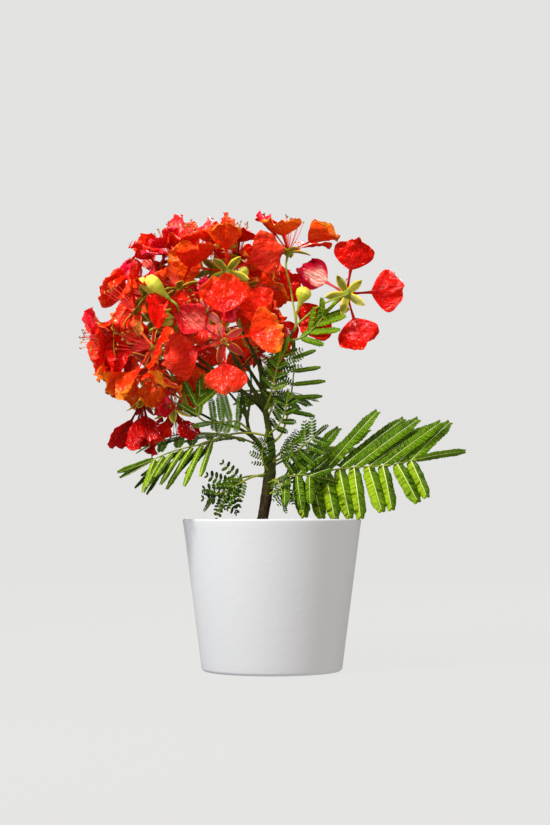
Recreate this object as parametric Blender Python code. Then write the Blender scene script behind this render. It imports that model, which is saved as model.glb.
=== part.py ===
# Potted royal poinciana (Delonix regia): a young flowering plant in a plain tapered pot.
#
# Lengths are millimetres in this file, and the meshes are made in metres, +Z up. The origin is the
# centre of the pot's flat underside. Places on the plant are given by seen(): how far right of the
# pot's axis and above its rim they show from in front, and how deep they lie behind that axis.

import math
import random

import bpy
from mathutils import Matrix, Vector
from mathutils.bvhtree import BVHTree

MM = 0.001
VIEW_DISTANCE = 1730.0  # from the pot's axis to the eye that seen() stands for

# Pot and soil
POT_HEIGHT = 150.0
POT_TOP_RADIUS = 89.0
POT_FOOT_RADIUS = 69.5
POT_WALL = 4.5
POT_FLOOR = 6.0
RIM_ROUND = 1.2
FOOT_ROUND = 4.0
SOIL_TOP = 136.0
POT_STEPS = 36
SOIL_FLAT = 0.82  # the level part of the soil's top, of the pot's radius there
SOIL_DIP = 3.0  # how far it falls to the wall

# Limbs
TRUNK_SIDES = 10
LIMB_SIDES = 6
HEAD_STEM_SIDES = 5
STALK_SIDES = 4
RIB_SIDES = 4
PATH_SPANS = 2  # steps of a limb's curve between two of its points

# Clearances
TOUCH_GAP = 0.3  # between pieces that carry each other
FREE_GAP = 0.5  # between pieces that only pass each other
TRIM_STEP = 0.2  # a limb is shortened by this much at a time until it clears what carries it

# One petal, as parts of its length: a narrow claw, then a fan-shaped blade
CLAW_END = 0.40
CLAW_HALF = 1.5
BLADE_HALF = 0.35
STANDARD_HALF = 0.27  # of the upper petal, the standard
STANDARD_LENGTH = 0.86
STANDARD_CLOSER = 14  # degrees that it stands up from the others
STANDARD_CUP = 0.3
BLADE_LEAN = 0.8  # under 1 puts the blade's widest place nearer its claw
BLADE_ROUND = 0.65  # under 1 rounds its corners out
PETAL_ROWS = (0.0, 0.40, 0.54, 0.78, 1.0)
PETAL_TIP = 0.5  # the blade's width at its end, as a part of its widest
PETAL_HALF_THICK = 0.45
PETALS = 5
PETAL_SWAY = 9  # degrees either way
PETAL_BENDS = (-34, 6)
PETAL_CUPS = (0.05, 0.4)

# The rest of a flower
HEAD_STEM_START = 1.5
HEAD_STEM_END = 1.3
STALK_RADIUS = 1.0
STALK_STRAIGHT = 16.0  # its last stretch runs the way its flower faces
HUB_RADIUS = 4.5
HUB_PLACES = (-5.0, -1.2, 3.4)  # along the way a flower faces, from its centre
HUB_SHARES = (1.3, 1.0, 0.75)  # of the stalk's radius, then of the hub's
PETAL_START = 2.6  # from the flower's centre, inside its hub and clear of the next petal
SEPAL_START = 0.5
SEPAL_LENGTH = 19.0
SEPAL_HALF = 4.2
SEPAL_HALF_THICK = 0.7
SEPAL_MIDDLE = 0.5  # its widest place, as a part of its length
SEPAL_BEND = math.radians(-25)
SEPAL_CUP = 0.2
STAMEN_START = 1.5
STAMEN_LENGTH = 36.0
STAMEN_RISE = 5.0
STAMEN_PROFILE = ((0.0, 0.5), (0.86, 0.4), (0.93, 1.1), (1.0, 0.35))  # place along it, radius
BUD_PROFILE = ((-0.06, 0.2), (0.15, 0.42), (0.45, 0.9), (0.7, 1.0), (0.9, 0.72), (1.0, 0.25))
BUD_SIZES = (1.0, 0.85, 0.7)  # tried in this order
BUD_NECK = 0.3  # its stalk's end, as a part of its radius

# One pinna, a rib with its rows of leaflets
PINNA_HALF_THICK = 0.6
PINNA_CUP = -0.15  # its edges lie this part of its half width below its rib
PINNA_ROWS = ((0.12, 0.85), (0.86, 1.0))  # place along it, part of its half width
PINNA_SWAY = 5  # degrees either way
PINNA_CLOSING = 8  # degrees that the first pinnae stand off more than the last
PINNA_SHORTEST = 0.45  # of the longest, before the frond's middle fills out
RIB_START = 1.2
RIB_END = 0.6
RIB_OVERLAP = 2.0  # how far the last pinna begins before the rib's end

SCARLET = (0.79, 0.025, 0.008, 1.0)
LEAF_GREEN = (0.085, 0.23, 0.012, 1.0)
STEM_GREEN = (0.10, 0.13, 0.02, 1.0)
BARK_BROWN = (0.045, 0.03, 0.012, 1.0)
SEPAL_OLIVE = (0.24, 0.2, 0.01, 1.0)
POT_WHITE = (0.72, 0.73, 0.75, 1.0)
SOIL_BROWN = (0.05, 0.032, 0.02, 1.0)


def seen(right, deep, above):
    """The point that shows this far right of the pot's axis and above its rim, from in front."""
    spread = 1.0 + deep / VIEW_DISTANCE
    return Vector((right * spread, deep, POT_HEIGHT + above * spread))


# Limbs: the points each runs through and its radius at both ends, thickest first
TRUNK_LEAN = ((-12.5, 0, -13.7), (-10.5, 0, -6), (-9.0, 0, 2), (-5.5, 0, 23), (-2.0, 0, 46))
TRUNK_RADII = (9.0, 6.4, 5.3, 5.6, 6.2)
LIMBS = {
    "stem_right": (
        ((-2, 0, 46), (0, 0, 64), (-1.5, 0, 79), (-4, -1, 94), (-8, -1, 117), (-10, -2, 138)),
        4.3, 2.3),
    "stem_left": (((-3, -1, 47), (-9, -2, 65), (-14, -3, 77), (-22, -4, 86), (-26, -5, 104)), 3.0, 1.6),
    "bough_right": (((-10, -2, 137), (-4, -3, 150), (8, -4, 168), (23, -5, 191)), 2.2, 1.5),
    "bough_centre": (((-10, -2, 137), (-14, -4, 156), (-24, -6, 178), (-32, -6, 192)), 1.9, 1.4),
    "bough_upper_left": (
        ((-8, -1, 117), (-18, -8, 128), (-28, -15, 146), (-38, -22, 164), (-48, -26, 178)),
        2.5, 1.5),
    "bough_left": (
        ((-7, -1, 112), (-24, -8, 124), (-40, -9, 133), (-62, -10, 147), (-88, -10, 163)),
        2.2, 1.4),
    "bough_low_left": (((-16, -3, 79), (-32, -9, 90), (-55, -15, 97), (-78, -18, 109)), 1.8, 1.2),
    "bough_top": (((-9, -2, 128), (-22, 6, 148), (-42, 12, 180), (-58, 10, 207)), 2.0, 1.4),
    "bough_back_right": (((-8, -1, 122), (-8, 14, 140), (-14, 32, 166), (-18, 40, 186)), 2.0, 1.4),
    "bough_back_left": (((-6, -1, 106), (-22, 14, 122), (-52, 30, 145), (-80, 38, 166)), 2.2, 1.4),
}

# Flowers: the blossom head each belongs to, its centre, the way it faces, the turn of its upper
# petal, how far its petals open from the way it faces, and a petal's length
FLOWERS = {
    "one": ("right", (75, -10, 226), (0.10, 0.97, 0.20), 150, 88, 57),
    "two": ("right", (16, 0, 268), (0.12, 0.10, 1.0), 190, 62, 55),
    "three": ("front", (-45, -36, 248), (-0.12, 0.86, 0.48), 96, 82, 62),
    "four": ("front", (-48, -62, 178), (-0.10, -0.98, 0.05), 146, 84, 65),
    "five": ("left", (-136, -8, 209), (-0.78, -0.10, 0.62), 80, 62, 55),
    "sixteen": ("left", (-157, -20, 184), (-0.95, -0.15, -0.05), 62, 58, 48),
    "six": ("left", (-119, -46, 172), (-0.80, -0.50, 0.20), 130, 66, 60),
    "seven": ("low_left", (-129, -16, 124), (-0.05, -0.20, -0.97), 80, 15, 59),
    "eight": ("low_left", (-118, -32, 158), (0.05, -0.62, -0.78), 100, 60, 54),
    "nine": ("left", (-104, 6, 196), (-0.45, -0.60, 0.45), 60, 70, 50),
    "ten": ("top", (-74, -2, 262), (-0.40, -0.20, 0.88), 40, 54, 54),
    "eleven": ("front", (-93, -32, 231), (-0.30, 0.20, 0.93), 100, 66, 57),
    "twelve": ("centre", (-25, 10, 224), (0.80, 0.15, 0.40), 160, 66, 52),
    "thirteen": ("centre", (-18, 4, 168), (0.60, -0.30, -0.50), 60, 58, 48),
    "fourteen": ("low_left", (-100, 22, 114), (0.05, 0.40, -0.85), 20, 34, 40),
    "fifteen": ("top", (-112, 22, 244), (-0.60, -0.10, 0.75), 100, 62, 54),
    "seventeen": ("top", (-98, -12, 260), (-0.35, -0.55, 0.75), 60, 66, 52),
    "back_one": ("back_left", (-126, 62, 222), (-0.60, 0.70, 0.35), 100, 78, 54),
    "back_two": ("back_left", (-98, 82, 172), (-0.20, 0.95, 0.0), 100, 82, 57),
    "back_three": ("back_left", (-142, 44, 158), (-0.85, 0.40, -0.30), 60, 72, 52),
    "back_four": ("top", (-58, 52, 250), (-0.05, 0.70, 0.70), 90, 76, 56),
    "back_five": ("back_right", (-18, 76, 210), (0.20, 0.90, 0.30), 100, 80, 56),
    "back_six": ("back_right", (-52, 78, 190), (-0.20, 0.75, -0.55), 90, 70, 52),
}
# Petals that stand apart from the even fifths of a turn: the degrees added to each, and its size
PETAL_SHIFTS = {
    "one": ((0, 1.1), (-2, 1), (-8, 1), (-3, 1), (2, 1)),
    "two": ((12, 1), (-10, 1), (0, 1), (0, 1), (-14, 1)),
    "four": ((0, 1), (-20, 1), (-16, 0.82), (12, 0.95), (16, 1)),
}

# Buds: the blossom head, the two ends, and the radius
BUDS = {
    "one": ("left", (-110, -34, 220), (-134, -46, 242), 6.8),
    "two": ("left", (-112, -50, 194), (-100, -62, 200), 4.6),
    "three": ("right", (28, -12, 216), (34, -16, 233), 8.0),
    "four": ("centre", (-26, -22, 240), (-30, -26, 254), 5.0),
    "five": ("back_left", (-92, 66, 206), (-100, 80, 224), 6.2),
    "six": ("top", (-40, 28, 262), (-36, 30, 282), 5.6),
}

# Blossom heads: the bough that carries each and the point its short stem runs to
HEADS = {
    "right": ("bough_right", (24, -5, 198)),
    "front": ("bough_upper_left", (-56, -27, 190)),
    "centre": ("bough_centre", (-32, -7, 202)),
    "left": ("bough_left", (-101, -11, 174)),
    "low_left": ("bough_low_left", (-90, -18, 117)),
    "top": ("bough_top", (-62, 14, 220)),
    "back_right": ("bough_back_right", (-22, 46, 194)),
    "back_left": ("bough_back_left", (-94, 42, 176)),
}

# Fronds: the points of the rib, the part of it that is bare, its pairs of pinnae, the longest
# pinna and half its width, then for each of the two rows the side it spreads to, the angle in
# degrees it leaves the rib at and its share of that length, then the droop and the last pinna
FRONDS = {
    "frond_right": dict(
        rib=((0, -1, 34), (36, -10, 45), (78, -14, 51), (118, -12, 54), (146, -8, 60)),
        first=0.13, pairs=9, length=84, half=5.6, sides=((-0.1, 0.42, 0.9), (0, -0.42, -0.9)),
        slants=(36, 84), shares=(1.0, 0.6), droop=12, end=52),
    "frond_left": dict(
        rib=((0, -3, 82), (-22, -9, 86), (-44, -15, 84), (-70, -23, 75), (-98, -35, 68),
             (-122, -47, 58)),
        first=0.44, pairs=7, length=60, half=5.0, sides=((0, 0.6, -0.8), (0, -0.72, -0.7)),
        slants=(30, 42), shares=(0.85, 1.0), droop=10, end=38),
    "frond_low_left": dict(
        rib=((-4, -2, 42), (-20, -6, 43), (-34, -9, 39), (-42, -12, 27), (-48, -14, 16)),
        first=0.42, pairs=4, length=28, half=3.4, sides=((0.3, 0.3, -0.8), (-0.6, -0.3, 0.75)),
        slants=(52, 62), shares=(0.8, 1.0), droop=8, end=20),
    "frond_mid_left": dict(
        rib=((-22, -5, 88), (-34, -16, 97), (-46, -20, 97), (-62, -24, 96)),
        first=0.3, pairs=4, length=31, half=3.6, sides=((0.3, -0.15, 0.9), (0.1, -0.6, -0.5)),
        slants=(82, 60), shares=(1.0, 0.6), droop=6, end=20),
    "frond_hanging": dict(
        rib=((-55, -15, 96), (-68, -26, 98), (-76, -30, 108), (-71, -32, 128)),
        first=0.4, pairs=3, length=26, half=3.2, sides=((1, 0.3, 0), (-1, -0.3, 0)),
        slants=(36, 36), shares=(1.0, 1.0), droop=10, end=18),
    "frond_upper_right": dict(
        rib=((14, -4, 178), (30, -8, 182), (42, -10, 192), (54, -12, 206)),
        first=0.22, pairs=4, length=33, half=3.8, sides=((-0.7, 0.3, 0.7), (0.7, -0.3, -0.7)),
        slants=(30, 36), shares=(0.8, 1.0), droop=8, end=24),
    "frond_tall": dict(
        rib=((-1, 1, 74), (10, 6, 86), (17, 8, 110), (20, 8, 130), (22, 6, 150), (22, 4, 168)),
        first=0.34, pairs=5, length=33, half=4.0, sides=((1, 0.25, 0), (-0.8, 0.5, 0)),
        slants=(80, 66), shares=(1.0, 0.7), droop=10, end=16),
    "frond_inner": dict(
        rib=((-9, -3, 126), (0, -12, 138), (6, -17, 152), (12, -19, 168)),
        first=0.25, pairs=4, length=25, half=3.8, sides=((0.8, -0.1, -0.3), (-0.8, -0.1, 0.3)),
        slants=(52, 52), shares=(1.0, 0.8), droop=10, end=18),
    "frond_small": dict(
        rib=((-1, -1, 57), (8, -10, 66), (16, -16, 72), (22, -22, 76)),
        first=0.3, pairs=3, length=22, half=3.4, sides=((0.3, 0.4, 0.8), (0.3, -0.6, -0.7)),
        slants=(58, 58), shares=(1.0, 1.0), droop=8, end=16),
    "frond_back_right": dict(
        rib=((-1, 1, 52), (24, 34, 64), (58, 66, 72), (92, 92, 70)),
        first=0.28, pairs=6, length=56, half=5.2, sides=((-0.7, 0.7, 0.1), (0.7, -0.7, -0.2)),
        slants=(58, 58), shares=(1.0, 1.0), droop=24, end=44),
    "frond_back_left": dict(
        rib=((-2, 0, 68), (-30, 30, 80), (-70, 56, 86), (-112, 74, 78)),
        first=0.3, pairs=6, length=54, half=5.2, sides=((0.5, 0.85, 0.1), (-0.5, -0.85, -0.1)),
        slants=(58, 58), shares=(1.0, 1.0), droop=24, end=42),
    "frond_back": dict(
        rib=((-5, 0, 98), (2, 34, 118), (4, 72, 128), (0, 108, 122)),
        first=0.3, pairs=6, length=52, half=5.2, sides=((1, 0, 0), (-1, 0, 0)),
        slants=(60, 60), shares=(1.0, 1.0), droop=26, end=40),
}


def smooth(points):
    """A curve through the points."""
    padded = [2 * points[0] - points[1], *points, 2 * points[-1] - points[-2]]
    path = []
    for a, b, c, d in zip(padded, padded[1:], padded[2:], padded[3:]):
        for step in range(PATH_SPANS):
            t = step / PATH_SPANS
            path.append(
                b + 0.5 * t * (c - a + t * (2 * a - 5 * b + 4 * c - d + t * (3 * (b - c) + d - a)))
            )
    return [*path, points[-1].copy()]


def lengths_along(path):
    """How far along the path each of its points lies."""
    found = [0.0]
    for a, b in zip(path, path[1:]):
        found.append(found[-1] + (b - a).length)
    return found


def point_along(path, share):
    """The point and the direction at this share of the path's length."""
    found = lengths_along(path)
    want = share * found[-1]
    for i in range(len(path) - 1):
        if want <= found[i + 1] or i == len(path) - 2:
            part = (want - found[i]) / (found[i + 1] - found[i])
            return path[i].lerp(path[i + 1], part), (path[i + 1] - path[i]).normalized()


def cut_start(path, distance):
    """The path without its first stretch."""
    found = lengths_along(path)
    start, _ = point_along(path, distance / found[-1])
    return [start, *(p for p, at in zip(path, found) if at > distance + TRIM_STEP)]


def loft(rings, tip=None):
    """A closed shape through rings of points that turn anticlockwise along the way they run."""
    count = len(rings[0])
    points = [point for ring in rings for point in ring]
    faces = [tuple(reversed(range(count)))]
    for row in range(len(rings) - 1):
        for i in range(count):
            near, far = row * count, (row + 1) * count
            after = (i + 1) % count
            faces.append((near + i, near + after, far + after, far + i))
    last = (len(rings) - 1) * count
    if tip is None:
        faces.append(tuple(range(last, last + count)))
    else:
        points.append(tip)
        for i in range(count):
            faces.append((last + i, last + (i + 1) % count, len(points) - 1))
    return points, faces


def tube(path, radii, sides, grow=0.0):
    """A round limb along the path, with its radius at each point."""
    normal = (path[1] - path[0]).orthogonal().normalized()
    rings = []
    for i, point in enumerate(path):
        along = (path[min(i + 1, len(path) - 1)] - path[max(i - 1, 0)]).normalized()
        normal = (normal - along * normal.dot(along)).normalized()
        across = along.cross(normal)
        ring = []
        for side in range(sides):
            turn = math.tau * side / sides
            ring.append(point + (normal * math.cos(turn) + across * math.sin(turn)) * (radii[i] + grow))
        rings.append(ring)
    return loft(rings)


def tapered(path, start, end, sides, grow=0.0):
    """A limb whose radius changes evenly along its length."""
    found = lengths_along(path)
    radii = [start + (end - start) * at / found[-1] for at in found]
    return tube(path, radii, sides, grow)


def blade(start, along, face, length, rows, bend, cup, pointed, grow=0.0):
    """A thin blade that bends towards its face. Each row is its place, half width and half thickness."""
    side = along.cross(face)
    rings = []
    middle = None
    for place, half_width, half_thick in rows:
        turn = bend * place
        reach = length * place
        if abs(bend) > 1e-4:
            radius = length / bend
            middle = start + along * (radius * math.sin(turn)) + face * (radius * (1 - math.cos(turn)))
        else:
            middle = start + along * reach
        out = face * math.cos(turn) - along * math.sin(turn)
        rise = out * (cup * half_width)
        edge = side * (half_width + grow)
        thick = out * (half_thick + grow)
        rings.append([middle - edge + rise, middle + thick, middle + edge + rise, middle - thick])
    if not pointed:
        return loft(rings)
    tip = rings.pop()
    return loft(rings, (tip[0] + tip[2]) / 2)


# The space that the pieces placed so far take up
taken = []


def reserve(owner, shape):
    """Marks the shape's space as its owner's: a node, or one flower of it after a slash."""
    low = Vector(min(p[i] for p in shape[0]) for i in range(3))
    high = Vector(max(p[i] for p in shape[0]) for i in range(3))
    taken.append((owner, BVHTree.FromPolygons(*shape), low, high))


def is_clear(owners, shape):
    """Whether the shape misses every piece but those whose owner starts with one of these names."""
    low = Vector(min(p[i] for p in shape[0]) for i in range(3))
    high = Vector(max(p[i] for p in shape[0]) for i in range(3))
    tree = BVHTree.FromPolygons(*shape)
    for other, other_tree, other_low, other_high in taken:
        if other.startswith(owners):
            continue
        apart = any(low[i] > other_high[i] or high[i] < other_low[i] for i in range(3))
        if not apart and tree.overlap(other_tree):
            return False
    return True


def trimmed(owner, path, start, end, sides):
    """The path, cut back at its start until the limb along it clears what carries it."""
    distance = 0.0
    while not is_clear(owner, tapered(path, start, end, sides, TOUCH_GAP)):
        distance += TRIM_STEP
        path = cut_start(path, TRIM_STEP)
    return path


def make_material(name, colour, roughness):
    material = bpy.data.materials.new(name)
    material.use_nodes = True
    shader = material.node_tree.nodes["Principled BSDF"]
    shader.inputs["Base Color"].default_value = colour
    shader.inputs["Roughness"].default_value = roughness
    shader.inputs["Metallic"].default_value = 0.0
    material.diffuse_color = colour
    return material


def make_mesh(name, shape, materials, slot=0):
    points, faces = shape
    mesh = bpy.data.meshes.new(name)
    mesh.from_pydata([p * MM for p in points], [], faces)
    for material in materials:
        mesh.materials.append(material)
    mesh.polygons.foreach_set("material_index", [slot] * len(mesh.polygons))
    mesh.update()
    return mesh


def make_object(name, mesh):
    mesh.shade_smooth()
    mesh.set_sharp_from_angle(angle=math.radians(40))
    part = bpy.data.objects.new(name, mesh)
    bpy.context.scene.collection.objects.link(part)
    return part


def largest_body(mesh):
    """Keeps the mesh's largest closed surface, so that sealed hollows are filled and scraps dropped."""
    corners = {}
    for polygon in mesh.polygons:
        for vertex in polygon.vertices:
            corners.setdefault(vertex, []).append(polygon.index)
    seen_faces = set()
    bodies = []
    for polygon in mesh.polygons:
        if polygon.index in seen_faces:
            continue
        body, ahead = [], [polygon.index]
        seen_faces.add(polygon.index)
        while ahead:
            index = ahead.pop()
            body.append(index)
            for vertex in mesh.polygons[index].vertices:
                for other in corners[vertex]:
                    if other not in seen_faces:
                        seen_faces.add(other)
                        ahead.append(other)
        bodies.append(body)
    largest = max(bodies, key=len)
    kept = bpy.data.meshes.new(mesh.name)
    points = [v.co.copy() for v in mesh.vertices]
    used = sorted({v for index in largest for v in mesh.polygons[index].vertices})
    place = {vertex: i for i, vertex in enumerate(used)}
    faces = [[place[v] for v in mesh.polygons[index].vertices] for index in largest]
    kept.from_pydata([points[v] for v in used], [], faces)
    for material in mesh.materials:
        kept.materials.append(material)
    slots = [mesh.polygons[index].material_index for index in largest]
    kept.polygons.foreach_set("material_index", slots)
    kept.update()
    return kept


def fuse(name, pieces, materials):
    """One solid from pieces that run into each other. Each piece is a shape and a material's place."""
    shape, slot = pieces[0]
    base = bpy.data.objects.new(name + "_base", make_mesh(name + "_base", shape, materials, slot))
    bpy.context.scene.collection.objects.link(base)
    added = bpy.data.collections.new(name + "_pieces")
    bpy.context.scene.collection.children.link(added)
    for i, (shape, slot) in enumerate(pieces[1:]):
        piece = bpy.data.objects.new(f"{name}_{i}", make_mesh(f"{name}_{i}", shape, materials, slot))
        added.objects.link(piece)
    union = base.modifiers.new("union", "BOOLEAN")
    union.operation = "UNION"
    union.operand_type = "COLLECTION"
    union.collection = added
    union.solver = "MANIFOLD"
    graph = bpy.context.evaluated_depsgraph_get()
    joined = bpy.data.meshes.new_from_object(base.evaluated_get(graph))
    for piece in list(added.objects):
        bpy.data.objects.remove(piece)
    bpy.data.collections.remove(added)
    bpy.data.objects.remove(base)
    kept = largest_body(joined)
    kept.name = name
    return make_object(name, kept)


def turned(name, outline, material):
    """A solid turned round the vertical axis, from an outline that runs down its outer side."""
    mesh = bpy.data.meshes.new(name)
    points = [(radius * MM, 0.0, height * MM) for radius, height in outline]
    mesh.from_pydata(points, [(i, i + 1) for i in range(len(points) - 1)], [])
    mesh.materials.append(material)
    part = bpy.data.objects.new(name, mesh)
    bpy.context.scene.collection.objects.link(part)
    screw = part.modifiers.new("turn", "SCREW")
    screw.steps = POT_STEPS
    screw.render_steps = POT_STEPS
    screw.use_merge_vertices = True
    screw.merge_threshold = 0.00001
    screw.use_smooth_shade = True
    return part


def quarter_round(centre_radius, centre_height, radius, start, end, steps):
    """Points of an arc, by its centre and its angles in degrees."""
    points = []
    for step in range(steps + 1):
        turn = math.radians(start + (end - start) * step / steps)
        points.append((centre_radius + radius * math.cos(turn), centre_height + radius * math.sin(turn)))
    return points


def wall_radius(height):
    """The pot's outer radius at this height."""
    return POT_FOOT_RADIUS + (POT_TOP_RADIUS - POT_FOOT_RADIUS) * height / POT_HEIGHT


def make_pot(material):
    inner_foot = wall_radius(POT_FLOOR) - POT_WALL
    inner_top = POT_TOP_RADIUS - POT_WALL
    outline = [(0.0, POT_FLOOR), (inner_foot, POT_FLOOR), (inner_top, POT_HEIGHT - RIM_ROUND)]
    outline += quarter_round(inner_top + RIM_ROUND, POT_HEIGHT - RIM_ROUND, RIM_ROUND, 135, 90, 1)
    outline += quarter_round(POT_TOP_RADIUS - RIM_ROUND, POT_HEIGHT - RIM_ROUND, RIM_ROUND, 90, 10, 2)
    outline += quarter_round(wall_radius(FOOT_ROUND) - FOOT_ROUND, FOOT_ROUND, FOOT_ROUND, -8, -90, 3)
    outline.append((0.0, 0.0))
    return turned("pot", outline, material)


def make_soil(material):
    inner = POT_WALL + TOUCH_GAP
    edge = SOIL_TOP - SOIL_DIP
    low = POT_FLOOR + TOUCH_GAP
    outline = [
        (0.0, SOIL_TOP),
        (wall_radius(SOIL_TOP) * SOIL_FLAT, SOIL_TOP),
        (wall_radius(edge) - inner, edge),
        (wall_radius(low) - inner, low),
        (0.0, low),
    ]
    return turned("soil", outline, material)


def make_trunk(material):
    """The woody foot: it flares at the soil, leans right as it rises and swells at its fork."""
    points = [seen(*point) for point in TRUNK_LEAN]
    path = smooth(points)
    found = lengths_along(path)
    knots = [found[i * PATH_SPANS] for i in range(len(points))]
    radii = []
    for at in found:
        i = min(sum(at >= knot for knot in knots), len(knots) - 1)
        part = (at - knots[i - 1]) / (knots[i] - knots[i - 1])
        radii.append(TRUNK_RADII[i - 1] + (TRUNK_RADII[i] - TRUNK_RADII[i - 1]) * part)
    shape = tube(path, radii, TRUNK_SIDES)
    ground = SOIL_TOP + TOUCH_GAP
    for point in shape[0][:TRUNK_SIDES]:
        point.z = ground
    reserve("trunk", shape)
    mesh = make_mesh("trunk", shape, [material])
    return make_object("trunk", mesh)


def make_limb(name, materials):
    points, start, end = LIMBS[name]
    path = trimmed(name, smooth([seen(*p) for p in points]), start, end, LIMB_SIDES)
    shape = tapered(path, start, end, LIMB_SIDES)
    reserve(name, shape)
    make_object(name, make_mesh(name, shape, materials))
    return path


def petal_half(place, length, share):
    """The petal's half width at this part of its length: a claw, then a round fan with a blunt end."""
    if place <= CLAW_END:
        return CLAW_HALF
    part = (place - CLAW_END) / (1 - CLAW_END)
    fan = max(math.sin(math.pi * part**BLADE_LEAN), 0.0) ** BLADE_ROUND
    return CLAW_HALF + (share * length - CLAW_HALF) * max(fan, PETAL_TIP * part**4)


def flower_axes(facing):
    """The way a flower faces, and the two directions across it, right and up as seen from in front."""
    out = Vector(facing).normalized()
    up = Vector((0, 0, 1)) if abs(out.z) < 0.75 else Vector((0, 1, 0))
    up = (up - out * up.dot(out)).normalized()
    right = up.cross(out)
    if right.x + 0.3 * right.y < 0:
        right.negate()
    return out, right, up


def petal_plan(flower):
    """Each petal's turn, opening, length, bend, cup and width, by a rule seeded with a flower's name."""
    _, _, _, spin, opening, length = FLOWERS[flower]
    chance = random.Random("petals of " + flower)
    shifts = PETAL_SHIFTS.get(flower)
    plan = []
    for i in range(PETALS):
        standard = i == 0
        shift, size = shifts[i] if shifts else (chance.uniform(-PETAL_SWAY, PETAL_SWAY), 1)
        sway = chance.uniform(-PETAL_SWAY, PETAL_SWAY)
        size *= chance.uniform(0.94, 1.06) * (STANDARD_LENGTH if standard else 1)
        plan.append(
            dict(
                turn=spin + 360 / PETALS * i + shift,
                opening=opening + sway - (STANDARD_CLOSER if standard else 0),
                length=length * size,
                bend=chance.uniform(*PETAL_BENDS),
                cup=chance.uniform(*PETAL_CUPS) + (STANDARD_CUP if standard else 0),
                share=STANDARD_HALF if standard else BLADE_HALF * chance.uniform(0.92, 1.08),
            )
        )
    return plan


def spread_out(centre, axes, turn, opening, start):
    """A place and the directions for a petal that leaves a flower's centre."""
    out, right, up = axes
    turn, opening = math.radians(turn), math.radians(opening)
    across = right * math.cos(turn) + up * math.sin(turn)
    along = out * math.cos(opening) + across * math.sin(opening)
    face = out * math.sin(opening) - across * math.cos(opening)
    return centre + along * start, along, face


def petal(centre, axes, plan, tilt, turn, size, grow=0.0):
    turn, opening = plan["turn"] + turn, plan["opening"] + tilt
    start, along, face = spread_out(centre, axes, turn, opening, PETAL_START)
    length = plan["length"] * size
    rows = [(s, petal_half(s, length, plan["share"]), PETAL_HALF_THICK) for s in PETAL_ROWS]
    bend = math.radians(plan["bend"])
    return blade(start, along, face, length, rows, bend, plan["cup"], False, grow)


def leaflet(start, along, face, length, rows, bend, cup, grow=0.0):
    """A blade that is pointed at both ends: its first row stands off a foot at the start."""
    points, faces = blade(start, along, face, length, rows, bend, cup, True, grow)
    foot = len(points)
    return [*points, start.copy()], faces[1:] + [((i + 1) % 4, i, foot) for i in range(4)]


def sepal(centre, axes, turn, opening, grow=0.0):
    start, along, face = spread_out(centre, axes, turn, opening, SEPAL_START)
    rows = ((SEPAL_MIDDLE, SEPAL_HALF, SEPAL_HALF_THICK), (1.0, 0.0, 0.0))
    return leaflet(start, along, face, SEPAL_LENGTH, rows, SEPAL_BEND, SEPAL_CUP, grow)


def stamen(centre, axes, turn, opening, grow=0.0):
    """A filament that curves up to an anther."""
    start, along, face = spread_out(centre, axes, turn, opening, STAMEN_START)
    points = []
    for place, _ in STAMEN_PROFILE:
        rise = STAMEN_RISE * place * place
        points.append(start + along * (STAMEN_LENGTH * place) + face * rise)
    return tube(points, [radius for _, radius in STAMEN_PROFILE], 3, grow)


# Tilts, turns and sizes that a petal tries in this order until it clears its neighbours
PETAL_TRIES = (
    (0, 0, 1), (12, 0, 1), (-12, 0, 1), (0, 12, 1), (0, -12, 1), (24, 0, 1), (-24, 0, 1),
    (12, 16, 1), (-12, -16, 1), (12, -16, 1), (-12, 16, 1), (-36, 0, 1), (0, 24, 0.9), (0, -24, 0.9),
    (-24, 20, 0.85), (-24, -20, 0.85), (24, 20, 0.85), (24, -20, 0.85), (0, 0, 0.8), (-40, 0, 0.8),
)
# Tilts and turns for a sepal and for a stamen
SEPAL_TRIES = ((14, 0), (26, 0), (4, 0), (14, 12), (14, -12), (40, 0))
STAMEN_TRIES = ((22, 0), (34, 0), (12, 0), (40, 20))


def place_first(owner, tries, build, carrier=""):
    """Builds and keeps the first of these tries that is clear of all but its carrier, or none."""
    for attempt in tries:
        if is_clear((owner, carrier or owner), build(*attempt, FREE_GAP)):
            shape = build(*attempt, 0.0)
            reserve(owner, shape)
            return shape
    return None


def stalk(start, centre, facing, hub, bow, grow=0.0):
    """A stalk from its head's stem to the back of a flower or bud, swelling to the hub there."""
    before = centre - facing * min(STALK_STRAIGHT, 0.4 * (centre - start).length)
    middle = start.lerp(before, 0.5) + Vector(bow)
    path = [start, middle, before, *(centre + facing * place for place in HUB_PLACES)]
    swell, hub_back, hub_front = HUB_SHARES
    radii = [STALK_RADIUS] * 3 + [STALK_RADIUS * swell, hub * hub_back, hub * hub_front]
    return tube(path, radii, STALK_SIDES, grow)


# Sideways bows that a stalk tries in this order, until it clears its neighbours
STALK_TRIES = (
    (0, 0, 5), (0, 0, -6), (0, 8, 0), (0, -8, 0), (8, 0, 0), (-8, 0, 0), (0, 14, 6), (0, -14, 6),
    (12, 0, -8),
)


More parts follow.
